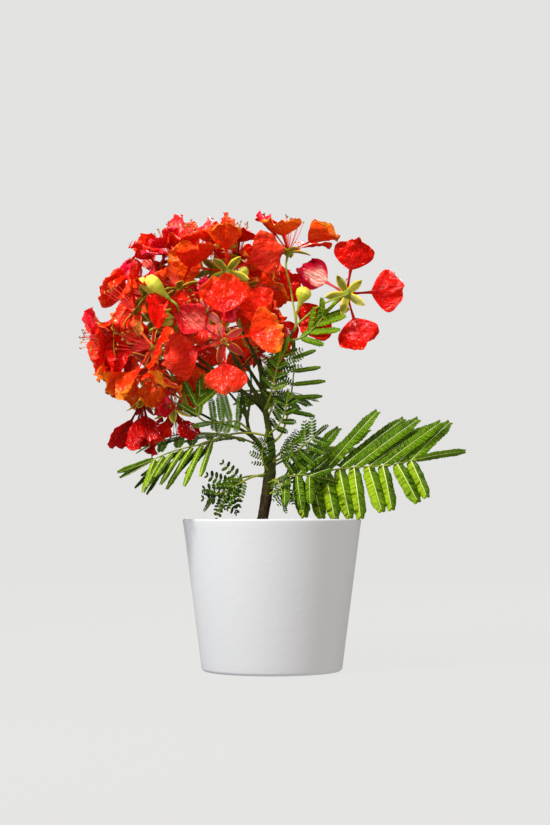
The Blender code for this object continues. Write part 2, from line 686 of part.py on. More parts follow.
def make_head_stems():
    """The short stem of each blossom head, with the stalks of its flowers and buds."""
    heads = {}
    for head, (bough, end) in HEADS.items():
        name = "blossom_" + head
        tip = limb_paths[bough][-1]
        ahead = (tip - limb_paths[bough][-2]).normalized()
        path = smooth([tip, tip.lerp(seen(*end), 0.5) + ahead * 1.5, seen(*end)])
        path = trimmed(name, path, HEAD_STEM_START, HEAD_STEM_END, HEAD_STEM_SIDES)
        stem = tapered(path, HEAD_STEM_START, HEAD_STEM_END, HEAD_STEM_SIDES)
        reserve(name + "/stem", stem)
        heads[head] = dict(name=name, path=path, pieces=[(stem, 2)])
    for head, parts in heads.items():
        wanted = []
        for flower, (owner, at, way, *_) in FLOWERS.items():
            if owner == head:
                wanted.append(("/flower_" + flower, seen(*at), Vector(way).normalized(), HUB_RADIUS))
        for bud, (owner, base, end, radius) in BUDS.items():
            if owner == head:
                facing = (seen(*end) - seen(*base)).normalized()
                wanted.append(("/bud_" + bud, seen(*base), facing, radius * BUD_NECK))
        for i, (label, centre, facing, hub) in enumerate(wanted):
            start, _ = point_along(parts["path"], 0.45 + 0.5 * i / len(wanted))
            for bow in STALK_TRIES:
                if is_clear(parts["name"], stalk(start, centre, facing, hub, bow, FREE_GAP)):
                    shape = stalk(start, centre, facing, hub, bow)
                    reserve(parts["name"] + label, shape)
                    parts["pieces"].append((shape, 2))
                    break
            else:
                print("stalk left out:", head, label)
    return heads


def make_flowers(heads):
    """Petals, sepals and stamens of every flower, front ones first."""
    for flower in FLOWERS:
        head, at, facing, spin, opening, _ = FLOWERS[flower]
        owner = heads[head]["name"] + "/flower_" + flower
        pieces = heads[head]["pieces"]
        centre = seen(*at)
        axes = flower_axes(facing)
        for i, plan in enumerate(petal_plan(flower)):
            shape = place_first(
                owner,
                PETAL_TRIES,
                lambda tilt, turn, size, grow: petal(centre, axes, plan, tilt, turn, size, grow),
            )
            if shape is None:
                print("petal left out:", flower, i)
                continue
            pieces.append((shape, 0))
        for i in range(PETALS):
            turn = spin + 360 / PETALS * (i + 0.5)
            shape = place_first(
                owner,
                SEPAL_TRIES,
                lambda tilt, aside, grow: sepal(centre, axes, turn + aside, opening + tilt, grow),
            )
            if shape is not None:
                pieces.append((shape, 1))
        shape = place_first(
            owner,
            STAMEN_TRIES,
            lambda tilt, aside, grow: stamen(centre, axes, spin + aside, tilt, grow),
        )
        if shape is not None:
            pieces.append((shape, 0))


def make_buds(heads):
    """Pear-shaped buds on the ends of their stalks."""
    for bud, (head, base, end, radius) in BUDS.items():
        start, tip = seen(*base), seen(*end)
        path = [start.lerp(tip, place) for place, _ in BUD_PROFILE]
        owner = heads[head]["name"] + "/bud_" + bud
        for size in BUD_SIZES:
            shape = tube(path, [radius * size * share for _, share in BUD_PROFILE], LIMB_SIDES)
            if is_clear(owner, shape):
                reserve(owner, shape)
                heads[head]["pieces"].append((shape, 1))
                break
        else:
            print("bud left out:", bud)


def pinna(start, along, face, length, half, droop, grow=0.0):
    """One rib of leaflets."""
    rows = [(place, half * share, PINNA_HALF_THICK) for place, share in PINNA_ROWS]
    rows.append((1.0, 0.0, 0.0))
    return leaflet(start, along, face, length, rows, math.radians(-droop), PINNA_CUP, grow)


def frond_plan(name):
    """Each pinna's place on the rib, direction, face and length."""
    frond = FRONDS[name]
    path = smooth([seen(*p) for p in frond["rib"]])
    chance = random.Random("pinnae of " + name)
    at, ahead = point_along(path, 1.0)
    across = ahead.orthogonal().normalized()
    plan = [(at - ahead * RIB_OVERLAP, ahead, across, frond["end"])]
    for i in range(frond["pairs"]):
        along_rib = (i + 0.5) / frond["pairs"]
        place = frond["first"] + (1 - frond["first"]) * along_rib
        swell = math.sin(math.pi * (0.18 + 0.7 * along_rib))
        fullness = PINNA_SHORTEST + (1 - PINNA_SHORTEST) * swell
        for way, slant, share in zip(frond["sides"], frond["slants"], frond["shares"]):
            at, ahead = point_along(path, place)
            side = Vector(way)
            side = (side - ahead * side.dot(ahead)).normalized()
            sway = chance.uniform(-PINNA_SWAY, PINNA_SWAY)
            lean = math.radians(slant + sway + PINNA_CLOSING * (0.5 - along_rib))
            face = ahead.cross(side)
            if face.z + 0.4 * face.x - 0.4 * face.y < 0:
                face.negate()
            along = ahead * math.cos(lean) + side * math.sin(lean)
            length = frond["length"] * share * fullness * chance.uniform(0.93, 1.07)
            plan.append((at + side * (RIB_END / 2), along, face, length))
    return path, plan


# Lifts and turns that a pinna tries in this order, in degrees
PINNA_TRIES = (
    (0, 0), (10, 0), (-10, 0), (0, 10), (0, -10), (20, 0), (-20, 0), (10, 18), (-10, -18),
    (30, 0), (-30, 0), (45, 0), (-45, 0),
)


def make_rib(name):
    """A frond's rib, which the flowers keep clear of."""
    path, plan = frond_plan(name)
    path = trimmed(name, path, RIB_START, RIB_END, RIB_SIDES)
    rib = tapered(path, RIB_START, RIB_END, RIB_SIDES)
    reserve(name + "/rib", rib)
    return rib, plan


def make_frond(name, rib, plan, materials):
    frond = FRONDS[name]
    pieces = [(rib, 1)]
    for i, (at, along, face, length) in enumerate(plan):

        def build(lift, turn, grow):
            swing = Matrix.Rotation(math.radians(turn), 3, face)
            raising = Matrix.Rotation(math.radians(lift), 3, along.cross(face))
            way = raising @ (swing @ along)
            return pinna(at, way, raising @ face, length, frond["half"], frond["droop"], grow)

        shape = place_first(f"{name}/pinna_{i}.", PINNA_TRIES, build, name + "/rib")
        if shape is None:
            print("pinna left out:", name, i)
            continue
        pieces.append((shape, 0))
    fuse(name, pieces, materials)


for old in list(bpy.data.objects):
    bpy.data.objects.remove(old)

scarlet = make_material("scarlet_petal", SCARLET, 0.5)
leaf_green = make_material("leaf_green", LEAF_GREEN, 0.5)
stem_green = make_material("stem_green", STEM_GREEN, 0.55)
bark = make_material("bark", BARK_BROWN, 0.8)
sepal_olive = make_material("sepal_olive", SEPAL_OLIVE, 0.5)
pot_white = make_material("pot_white", POT_WHITE, 0.6)
soil_brown = make_material("soil_brown", SOIL_BROWN, 0.95)

make_pot(pot_white)
make_soil(soil_brown)
make_trunk(bark)
limb_paths = {name: make_limb(name, [stem_green]) for name in LIMBS}
blossom_heads = make_head_stems()
ribs = {name: make_rib(name) for name in FRONDS}
make_flowers(blossom_heads)
make_buds(blossom_heads)
for name, (rib, plan) in ribs.items():
    make_frond(name, rib, plan, [leaf_green, stem_green])
for parts in blossom_heads.values():
    fuse(parts["name"], parts["pieces"], [scarlet, sepal_olive, stem_green])
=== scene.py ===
# The looks of the potted royal poinciana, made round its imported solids.
#
# The plant's rule is the source's rule, written again here: the same limbs, flowers, buds and
# fronds, seeded in the same way and kept clear of each other by the same tests. Each place that the
# rule finds then gets the fine shape: petals with ruffled edges, pinnae with their leaflets, bark
# with relief. Lengths are millimetres until a mesh is made in metres.

import math
import random

import bpy
import numpy as np
from mathutils import Matrix, Vector, noise
from mathutils.bvhtree import BVHTree


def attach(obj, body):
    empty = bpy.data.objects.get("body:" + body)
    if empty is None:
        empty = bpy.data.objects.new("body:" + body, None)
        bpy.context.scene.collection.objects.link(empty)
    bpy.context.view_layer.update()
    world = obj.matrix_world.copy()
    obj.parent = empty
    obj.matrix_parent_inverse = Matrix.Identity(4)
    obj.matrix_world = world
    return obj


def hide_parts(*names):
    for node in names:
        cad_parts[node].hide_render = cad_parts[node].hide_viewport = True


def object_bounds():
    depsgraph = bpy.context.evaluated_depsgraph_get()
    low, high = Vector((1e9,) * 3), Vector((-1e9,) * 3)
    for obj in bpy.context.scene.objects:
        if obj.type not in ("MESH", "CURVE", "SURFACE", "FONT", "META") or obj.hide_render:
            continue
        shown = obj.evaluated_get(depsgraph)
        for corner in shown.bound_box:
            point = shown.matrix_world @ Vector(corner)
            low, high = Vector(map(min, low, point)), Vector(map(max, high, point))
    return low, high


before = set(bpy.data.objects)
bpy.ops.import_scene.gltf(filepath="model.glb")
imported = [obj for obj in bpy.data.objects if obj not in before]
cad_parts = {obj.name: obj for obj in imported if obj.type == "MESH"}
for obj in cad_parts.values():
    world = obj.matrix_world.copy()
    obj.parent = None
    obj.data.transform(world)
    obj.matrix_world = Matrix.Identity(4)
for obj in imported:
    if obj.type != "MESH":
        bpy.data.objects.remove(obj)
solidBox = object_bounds()

mm = 0.001
scene = bpy.context.scene


class Wire:
    # a socket that gives a value; sums written with it add Math nodes to its tree
    def __init__(self, net, socket):
        self.net = net
        self.socket = socket

    def __add__(self, other):
        return self.net.maths("ADD", self, other)

    __radd__ = __add__

    def __sub__(self, other):
        return self.net.maths("SUBTRACT", self, other)

    def __rsub__(self, other):
        return self.net.maths("SUBTRACT", other, self)

    def __mul__(self, other):
        return self.net.maths("MULTIPLY", self, other)

    __rmul__ = __mul__


class Net:
    # a node tree under construction, of a material or of Geometry Nodes
    def __init__(self, tree):
        self.tree = tree

    def add(self, kind, settings=None, sockets=None, output=0):
        # settings first, a ramp's stops among them, then the values or wires of the sockets
        node = self.tree.nodes.new(kind)
        for key, value in (settings or {}).items():
            if key == "stops":
                self.setStops(node.color_ramp, value)
            else:
                setattr(node, key, value)
        for key, value in (sockets or {}).items():
            self.feed(node.inputs[key], value)
        return Wire(self, node.outputs[output])

    def setStops(self, ramp, stops):
        while len(ramp.elements) < len(stops):
            ramp.elements.new(1.0)
        for element, (place, colour) in zip(ramp.elements, stops):
            element.position = place
            element.color = (*colour, 1.0)

    def feed(self, socket, value):
        if isinstance(value, Wire):
            self.tree.links.new(value.socket, socket)
        else:
            socket.default_value = value

    def maths(self, operation, *values):
        return self.add("ShaderNodeMath", {"operation": operation}, dict(enumerate(values)))

    def vectors(self, operation, *values):
        return self.add("ShaderNodeVectorMath", {"operation": operation}, dict(enumerate(values)))

    def scaled(self, vector, factor):
        sockets = {"Vector": vector, "Scale": factor}
        return self.add("ShaderNodeVectorMath", {"operation": "SCALE"}, sockets)

    def triple(self, x, y, z):
        return self.add("ShaderNodeCombineXYZ", None, {0: x, 1: y, 2: z})

    def step(self, value, low, high):
        # 0 at low, 1 at high, smooth between them; low may be the greater of the two
        settings = {"interpolation_type": "SMOOTHSTEP"}
        return self.add("ShaderNodeMapRange", settings, {0: value, 1: low, 2: high, 3: 0.0, 4: 1.0})


class Finish(Net):
    # a material, with its Principled shader
    def __init__(self, name, **constants):
        self.material = bpy.data.materials.new(name)
        self.material.use_nodes = True
        super().__init__(self.material.node_tree)
        self.shader = self.tree.nodes["Principled BSDF"]
        for key, value in constants.items():
            self.shader.inputs[key.replace("_", " ")].default_value = value

    def attribute(self, name):
        return self.add("ShaderNodeAttribute", {"attribute_name": name}, output="Fac")

    def place(self, scale=(1, 1, 1)):
        # Object coordinates, drawn out along an axis where its scale is under 1
        sockets = {"Vector": self.add("ShaderNodeTexCoord", output="Object"), "Scale": scale}
        return self.add("ShaderNodeMapping", {"vector_type": "POINT"}, sockets)

    def noise(self, scale, detail=3.0, rough=0.5, stretch=(1, 1, 1)):
        here = self.place(stretch)
        sockets = {"Vector": here, "Scale": scale, "Detail": detail, "Roughness": rough}
        return self.add("ShaderNodeTexNoise", None, sockets, "Fac")

    def cells(self, scale):
        sockets = {"Vector": self.place(), "Scale": scale}
        return self.add("ShaderNodeTexVoronoi", None, sockets, "Distance")

    def ramp(self, factor, stops):
        return self.add("ShaderNodeValToRGB", {"stops": stops}, {"Fac": factor})

    def mix(self, factor, first, second):
        ends = [value if isinstance(value, Wire) else (*value, 1.0) for value in (first, second)]
        sockets = {0: factor, 6: ends[0], 7: ends[1]}
        return self.add("ShaderNodeMix", {"data_type": "RGBA"}, sockets, 2)

    def finish(self, colour, roughness=None, height=None, depth=0.0):
        # depth is the relief's height in metres
        self.feed(self.shader.inputs["Base Color"], colour)
        if roughness is not None:
            self.feed(self.shader.inputs["Roughness"], roughness)
        if height is not None:
            sockets = {"Strength": 1.0, "Distance": depth, "Height": height}
            self.feed(self.shader.inputs["Normal"], self.add("ShaderNodeBump", None, sockets))
        return self.material


class Grower(Net):
    # a Geometry Nodes tree with named inputs, whose geometry is made plain at its end
    def __init__(self, name, inputs):
        super().__init__(bpy.data.node_groups.new(name, "GeometryNodeTree"))
        sockets = self.tree.interface.new_socket
        sockets(name="Geometry", in_out="INPUT", socket_type="NodeSocketGeometry")
        self.names = {}
        for title, kind in {**inputs, "Finish": "Material"}.items():
            made = sockets(name=title, in_out="INPUT", socket_type="NodeSocket" + kind)
            self.names[title] = made.identifier
        sockets(name="Geometry", in_out="OUTPUT", socket_type="NodeSocketGeometry")
        self.entry = self.tree.nodes.new("NodeGroupInput")

    def given(self, name):
        return Wire(self, self.entry.outputs[name])

    def named(self, name, kind="FLOAT"):
        return self.add("GeometryNodeInputNamedAttribute", {"data_type": kind}, {"Name": name})

    def shift(self, size, seed):
        # a random number between -size and size for each place
        sockets = {2: -1.0, 3: 1.0, "Seed": seed}
        return self.add("FunctionNodeRandomValue", {"data_type": "FLOAT"}, sockets, 1) * size

    def scatter(self, points, instance, turn, scale, wanted=True):
        sockets = {"Points": points, "Selection": wanted, "Instance": instance,
                   "Rotation": turn, "Scale": scale}
        return self.add("GeometryNodeInstanceOnPoints", None, sockets)

    def join(self, parts):
        node = self.tree.nodes.new("GeometryNodeJoinGeometry")
        for part in parts:
            self.feed(node.inputs[0], part)
        return Wire(self, node.outputs[0])

    def end(self, geometry):
        smooth = self.add("GeometryNodeSetShadeSmooth", None, {0: geometry})
        real = self.add("GeometryNodeRealizeInstances", None, {"Geometry": smooth})
        sockets = {"Geometry": real, "Material": self.given("Finish")}
        final = self.add("GeometryNodeSetMaterial", None, sockets)
        self.feed(self.tree.nodes.new("NodeGroupOutput").inputs[0], final)

    def grow(self, name, mesh, material, **values):
        # runs the tree on a mesh and keeps what it makes as a plain mesh
        piece = linked(name, mesh)
        modifier = piece.modifiers.new("grow", "NODES")
        modifier.node_group = self.tree
        for title, value in {**values, "Finish": material}.items():
            modifier[self.names[title]] = value
        graph = bpy.context.evaluated_depsgraph_get()
        grown = bpy.data.meshes.new_from_object(piece.evaluated_get(graph))
        piece.modifiers.clear()
        piece.data = grown
        grown.name = name
        return piece


def linked(name, data):
    made = bpy.data.objects.new(name, data)
    scene.collection.objects.link(made)
    return made


# Camera and light, in metres

viewCamera = dict(distance=1.73, right=0.003, height=0.15, rise=0.1065, lens=75.5, sensor=36.0,
                  clip=(0.05, 50))
studio = dict(floorRadius=2.9, wallRound=1.1, wallHeight=4.2, steps=72,
              tone=(0.022, 0.022, 0.0218), glow=(0.752, 0.747, 0.738), ambient=0.68)
lamps = {
    "key": dict(place=(-0.66, -0.72, 1.12), aim=(0, 0, 0.26), size=0.24, power=22.5,
                colour=(1.0, 0.985, 0.96)),
    "fill": dict(place=(1.9, -1.4, 0.7), aim=(0, 0, 0.25), size=1.6, power=6.4,
                 colour=(1.0, 0.68, 0.42)),
    "back": dict(place=(0.6, 1.7, 1.8), aim=(0, 0, 0.28), size=1.0, power=30,
                 colour=(1.0, 1.0, 1.0)),
}


def makeCamera():
    v = viewCamera
    data = bpy.data.cameras.new("camera")
    data.sensor_fit = "VERTICAL"
    data.sensor_height = v["sensor"]
    data.lens = v["lens"]
    data.clip_start, data.clip_end = v["clip"]
    camera = linked("camera", data)
    camera.location = (v["right"], -v["distance"], v["height"])
    camera.rotation_euler = (math.pi / 2 + math.atan(v["rise"] / v["distance"]), 0, 0)
    scene.camera = camera


def makeLights():
    for name, lamp in lamps.items():
        data = bpy.data.lights.new(name, "AREA")
        data.size = lamp["size"]
        data.energy = lamp["power"]
        data.color = lamp["colour"]
        light = linked(name, data)
        light.location = lamp["place"]
        aim = Vector(lamp["aim"]) - light.location
        light.rotation_euler = aim.to_track_quat("-Z", "Y").to_euler()
        light.visible_camera = False
    world = bpy.data.worlds.new("studio")
    world.use_nodes = True
    background = world.node_tree.nodes["Background"]
    background.inputs["Color"].default_value = (1, 0.995, 0.985, 1)
    background.inputs["Strength"].default_value = studio["ambient"]
    world.cycles_visibility.glossy = False
    scene.world = world
    scene.view_settings.view_transform = "Standard"


# Shapes: points and faces in millimetres

def setNumbers(mesh, numbers):
    for title, values in numbers.items():
        mesh.attributes.new(title, "FLOAT", "POINT").data.foreach_set("value", values)


def meshOf(name, points, faces):
    mesh = bpy.data.meshes.new(name)
    mesh.from_pydata([tuple(c * mm for c in p) for p in points], [], faces)
    mesh.polygons.foreach_set("use_smooth", [True] * len(mesh.polygons))
    mesh.update()
    return mesh


def pieceOf(name, mesh, materials):
    for material in materials:
        mesh.materials.append(material)
    return linked(name, mesh)


def settle(piece, nodes):
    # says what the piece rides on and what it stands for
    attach(piece, "root")
    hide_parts(*sorted(nodes))
    mesh = piece.data
    mesh.calc_loop_triangles()
    print(f"{piece.name}: {len(mesh.loop_triangles)} triangles for {len(set(nodes))} nodes")


class Heap:
    # many small shapes joined into one mesh
    def __init__(self):
        self.points = []
        self.faces = []
        self.slots = []
        self.numbers = {}
        self.nodes = set()

    def put(self, points, faces, node, slot=0, **numbers):
        base = len(self.points)
        self.points.extend(points)
        self.faces.extend(tuple(base + i for i in face) for face in faces)
        self.slots.extend(slot if isinstance(slot, list) else [slot] * len(faces))
        for title, values in numbers.items():
            self.numbers.setdefault(title, []).extend(values)
        self.nodes.add(node)

    def piece(self, name, materials, slot):
        mesh = meshOf(name, self.points, self.faces)
        setNumbers(mesh, self.numbers)
        mesh.polygons.foreach_set("material_index", self.slots)
        settle(pieceOf(name, mesh, materials), self.nodes)


class Lines:
    # open paths with numbers at their points, for a tree to grow along
    def __init__(self):
        self.points = []
        self.edges = []
        self.numbers = {}
        self.vectors = {}
        self.nodes = set()

    def put(self, path, node, numbers, vectors=None):
        base = len(self.points)
        self.points.extend(path)
        self.edges.extend((base + i, base + i + 1) for i in range(len(path) - 1))
        for title, values in numbers.items():
            several = values if isinstance(values, list) else [values] * len(path)
            self.numbers.setdefault(title, []).extend(v * mm for v in several)
        for title, values in (vectors or {}).items():
            self.vectors.setdefault(title, []).extend(values)
        self.nodes.add(node)

    def piece(self, name, tree, material, slot, **values):
        mesh = bpy.data.meshes.new(name)
        mesh.from_pydata([tuple(p * mm) for p in self.points], self.edges, [])
        setNumbers(mesh, self.numbers)
        for title, ways in self.vectors.items():
            flat = [c for way in ways for c in way]
            mesh.attributes.new(title, "FLOAT_VECTOR", "POINT").data.foreach_set("vector", flat)
        piece = tree.grow(name, mesh, material, **values)
        # the finishes read none of the numbers that the tree used
        for title in [*self.numbers, *self.vectors]:
            if title in piece.data.attributes:
                piece.data.attributes.remove(piece.data.attributes[title])
        settle(piece, self.nodes)


def smoothPath(points, steps):
    # a curve through these points, with this many steps between two of them
    padded = [2 * points[0] - points[1], *points, 2 * points[-1] - points[-2]]
    path = []
    for a, b, c, d in zip(padded, padded[1:], padded[2:], padded[3:]):
        for step in range(steps):
            t = step / steps
            bend = 2 * a - 5 * b + 4 * c - d + t * (3 * (b - c) + d - a)
            path.append(b + 0.5 * t * (c - a + t * bend))
    return [*path, points[-1].copy()]


def seenPath(places, steps):
    return smoothPath([seen(*place) for place in places], steps)


def lengthsAlong(path):
    found = [0.0]
    for a, b in zip(path, path[1:]):
        found.append(found[-1] + (b - a).length)
    return found


def pointAlong(path, share):
    # the point and the direction at this share of the path's length
    found = lengthsAlong(path)
    want = share * found[-1]
    for i in range(len(path) - 1):
        if want <= found[i + 1] or i == len(path) - 2:
            part = (want - found[i]) / (found[i + 1] - found[i])
            return path[i].lerp(path[i + 1], part), (path[i + 1] - path[i]).normalized()


def cutStart(path, distance):
    found = lengthsAlong(path)
    start, _ = pointAlong(path, distance / found[-1])
    return [start, *(p for p, at in zip(path, found) if at > distance + clearance["trimStep"])]


def loft(rings, tip=None):
    # a closed shape through rings of points that turn anticlockwise along the way they run
    count = len(rings[0])
    points = [point for ring in rings for point in ring]
    faces = [tuple(reversed(range(count)))]
    for row in range(len(rings) - 1):
        for i in range(count):
            near, far = row * count, (row + 1) * count
            after = (i + 1) % count
            faces.append((near + i, near + after, far + after, far + i))
    last = (len(rings) - 1) * count
    if tip is None:
        faces.append(tuple(range(last, last + count)))
    else:
        points.append(tip)
        for i in range(count):
            faces.append((last + i, last + (i + 1) % count, len(points) - 1))
    return points, faces


def tube(path, radii, sides, grow=0.0):
    normal = (path[1] - path[0]).orthogonal().normalized()
    rings = []
    for i, point in enumerate(path):
        along = (path[min(i + 1, len(path) - 1)] - path[max(i - 1, 0)]).normalized()
        normal = (normal - along * normal.dot(along)).normalized()
        across = along.cross(normal)
        ring = []
        for side in range(sides):
            turn = math.tau * side / sides
            out = normal * math.cos(turn) + across * math.sin(turn)
            ring.append(point + out * (radii[i] + grow))
        rings.append(ring)
    return loft(rings)


def taper(path, start, end):
    found = lengthsAlong(path)
    return [start + (end - start) * at / found[-1] for at in found]


def tapered(path, start, end, sides, grow=0.0):
    return tube(path, taper(path, start, end), sides, grow)


def turnedRings(outline, steps):
    turns = [math.tau * step / steps for step in range(steps)]
    return [(radius * math.cos(turn), radius * math.sin(turn), height)
            for radius, height in outline for turn in turns]


def turnedStrip(step, rings, steps, base):
    # the quads of one step of the turn, from ring to ring
    after = (step + 1) % steps
    starts = [base + ring * steps for ring in range(rings)]
    return [(near + step, far + step, far + after, near + after)
            for near, far in zip(starts, starts[1:])]


def turnedShape(outline, steps):
    # a closed solid turned round the vertical axis, from an outline that starts and ends on it
    start, *rings, end = outline
    points = [(0.0, 0.0, start[1]), *turnedRings(rings, steps), (0.0, 0.0, end[1])]
    faces = []
    for step in range(steps):
        after = (step + 1) % steps
        faces.append((0, 1 + step, 1 + after))
        faces += turnedStrip(step, len(rings), steps, 1)
        last = 1 + (len(rings) - 1) * steps
        faces.append((len(points) - 1, last + after, last + step))
    return points, faces


def arc(centreRadius, centreHeight, radius, start, end, steps):
    turns = [math.radians(start + (end - start) * step / steps) for step in range(steps + 1)]
    return [(centreRadius + radius * math.cos(turn), centreHeight + radius * math.sin(turn))
            for turn in turns]


# Pot and soil

pot = dict(height=150.0, topRadius=89.0, footRadius=69.5, wall=4.5, floor=6.0, rimRound=1.9,
           footRound=4.0, innerRound=3.0, steps=160, creaseFrom=50,
           tone=(0.6, 0.611, 0.632), cloud=(0.568, 0.575, 0.59), speck=(0.45, 0.44, 0.42))
soil = dict(top=136.0, dip=3.0, flat=0.82, roughness=1.1, rings=44, steps=120, inset=0.3,
            crumbs=0.3, crumbSize=1.6, tone=(0.05, 0.031, 0.019))
viewDistance = 1730.0  # from the pot's axis to the eye that seen() stands for


def seen(right, deep, above):
    # the point that shows this far right of the pot's axis and above its rim, from in front
    spread = 1.0 + deep / viewDistance
    return Vector((right * spread, deep, pot["height"] + above * spread))


def wallRadius(height):
    return pot["footRadius"] + (pot["topRadius"] - pot["footRadius"]) * height / pot["height"]


def potFinish():
    f = Finish("matte_ceramic", Specular_IOR_Level=0.4)
    cloud = f.noise(14.0, 4.0)
    grain = f.noise(900.0, 2.0, 0.6)
    speck = f.step(f.cells(420.0), 0.16, 0.1)
    tone = f.mix(cloud * 0.35, pot["tone"], pot["cloud"])
    tone = f.mix(speck * 0.1, tone, pot["speck"])
    height = grain + 1.6 * f.noise(160.0, 2.0)
    return f.finish(tone, 0.56 + grain * 0.14, height, 0.00012)


def makePot():
    # the outline runs from the middle of the floor inside, over the rim and down to the foot
    p = pot
    innerFoot = wallRadius(p["floor"]) - p["wall"]
    innerTop = p["topRadius"] - p["wall"]
    hollow = p["height"] - p["floor"]
    foot = wallRadius(p["footRound"]) - p["footRound"]
    corner = innerFoot - p["innerRound"]
    rimHeight = p["height"] - p["rimRound"]
    outline = [(0.0, p["floor"]), (innerFoot * 0.5, p["floor"]), (corner, p["floor"])]
    outline += arc(corner, p["floor"] + p["innerRound"], p["innerRound"], -90, -8, 6)
    outline += [(innerFoot + (innerTop - innerFoot) * t, p["floor"] + hollow * t)
                for t in (0.1, 0.3, 0.5, 0.7, 0.9, 0.97)]
    outline += arc(innerTop + p["rimRound"], rimHeight, p["rimRound"], 172, 90, 8)
    outline += arc(p["topRadius"] - p["rimRound"], rimHeight, p["rimRound"], 90, -7, 8)
    outline += [(wallRadius(p["height"] * t), p["height"] * t)
                for t in (0.94, 0.8, 0.65, 0.5, 0.35, 0.2, 0.08)]
    outline += arc(foot, p["footRound"], p["footRound"], -8, -90, 10)
    outline += [(foot - p["wall"], 0.0), (foot * 0.5, 0.0), (0.0, 0.0)]
    points, faces = turnedShape(outline, p["steps"])
    piece = pieceOf("pot_body", meshOf("pot_body", points, faces), [potFinish()])
    piece.data.set_sharp_from_angle(angle=math.radians(p["creaseFrom"]))
    settle(piece, ["pot"])


def soilFinish():
    f = Finish("moist_compost", Specular_IOR_Level=0.25)
    clod = f.noise(60.0, 5.0, 0.6)
    fibre = f.noise(500.0, 3.0, 0.7, (1, 0.25, 1))
    dark = tuple(0.45 * c for c in soil["tone"])
    pale = tuple(2.3 * c for c in soil["tone"])
    tone = f.mix(f.step(clod, 0.3, 0.7), dark, soil["tone"])
    tone = f.mix(f.step(fibre, 0.62, 0.75) * 0.6, tone, pale)
    return f.finish(tone, 0.86 + clod * 0.12, clod + fibre * 0.5, 0.0012)


def crumbTree():
    g = Grower("crumbs", {"Density": "Float", "Size": "Float", "Seed": "Int"})
    sockets = {"Mesh": g.given("Geometry"), "Density": g.given("Density"), "Seed": g.given("Seed")}
    spots = g.add("GeometryNodeDistributePointsOnFaces", None, sockets)
    lump = g.add("GeometryNodeMeshIcoSphere", None, {"Radius": 1.0, "Subdivisions": 2})
    here = g.add("GeometryNodeInputPosition")
    bulge = g.add("ShaderNodeTexNoise", None, {"Vector": here, "Scale": 1.4, "Detail": 1.0})
    away = g.scaled(here, bulge * 1.4 - 0.8)
    lump = g.add("GeometryNodeSetPosition", None, {"Geometry": lump, "Offset": away})
    sockets = {0: (-3.1, -3.1, -3.1), 1: (3.1, 3.1, 3.1), "Seed": 4}
    turn = g.add("FunctionNodeRandomValue", {"data_type": "FLOAT_VECTOR"}, sockets)
    size = (g.shift(0.5, 7) + 0.75) * g.given("Size")
    scale = g.triple(size, size * 0.8, size * 0.65)
    g.end(g.scatter(spots, lump, turn, scale))
    return g


def makeSoil():
    s = soil
    inner = pot["wall"] + s["inset"]
    edge = s["top"] - s["dip"]
    reach = wallRadius(s["top"]) * s["flat"]
    rim = wallRadius(edge) - inner
    outline = [(0.0, s["top"])]
    for i in range(1, s["rings"] + 1):
        radius = rim * i / s["rings"]
        fall = max(0.0, (radius - reach) / (rim - reach))
        outline.append((radius, s["top"] - s["dip"] * fall * fall))
    low = pot["floor"] + s["inset"]
    outline += [(wallRadius(height) - inner, height) for height in (edge - 6, low)]
    outline.append((0.0, low))
    points, faces = turnedShape(outline, s["steps"])
    risen = []
    for x, y, z in points:
        if z > edge - 1:
            spot = Vector((x, y, 0))
            lump = sum(noise.noise(spot * often) * high
                       for often, high in ((0.09, 1.2), (0.3, 0.9), (0.9, 0.5)))
            z += s["roughness"] * (lump - 0.9)
        risen.append((x, y, z))
    mesh = meshOf("soil_surface", risen, faces)
    finish = soilFinish()
    settle(pieceOf("soil_surface", mesh, [finish]), ["soil"])
    # the crumbs lie on the open part of the surface
    top = bpy.data.meshes.new("soil_top")
    wanted = [p for p in mesh.polygons if p.normal.z > 0.4 and p.center.z > (edge - 3) * mm
              and p.center.xy.length < (rim - 2.5) * mm]
    top.from_pydata([v.co.copy() for v in mesh.vertices], [], [tuple(p.vertices) for p in wanted])
    crumbs = crumbTree().grow("soil_crumbs", top, finish, Density=s["crumbs"] / mm / mm * 0.1,
                              Size=s["crumbSize"] * mm * 0.62, Seed=5)
    settle(crumbs, ["soil"])


# Limbs: the points each runs through and its radius at both ends, as seen from in front

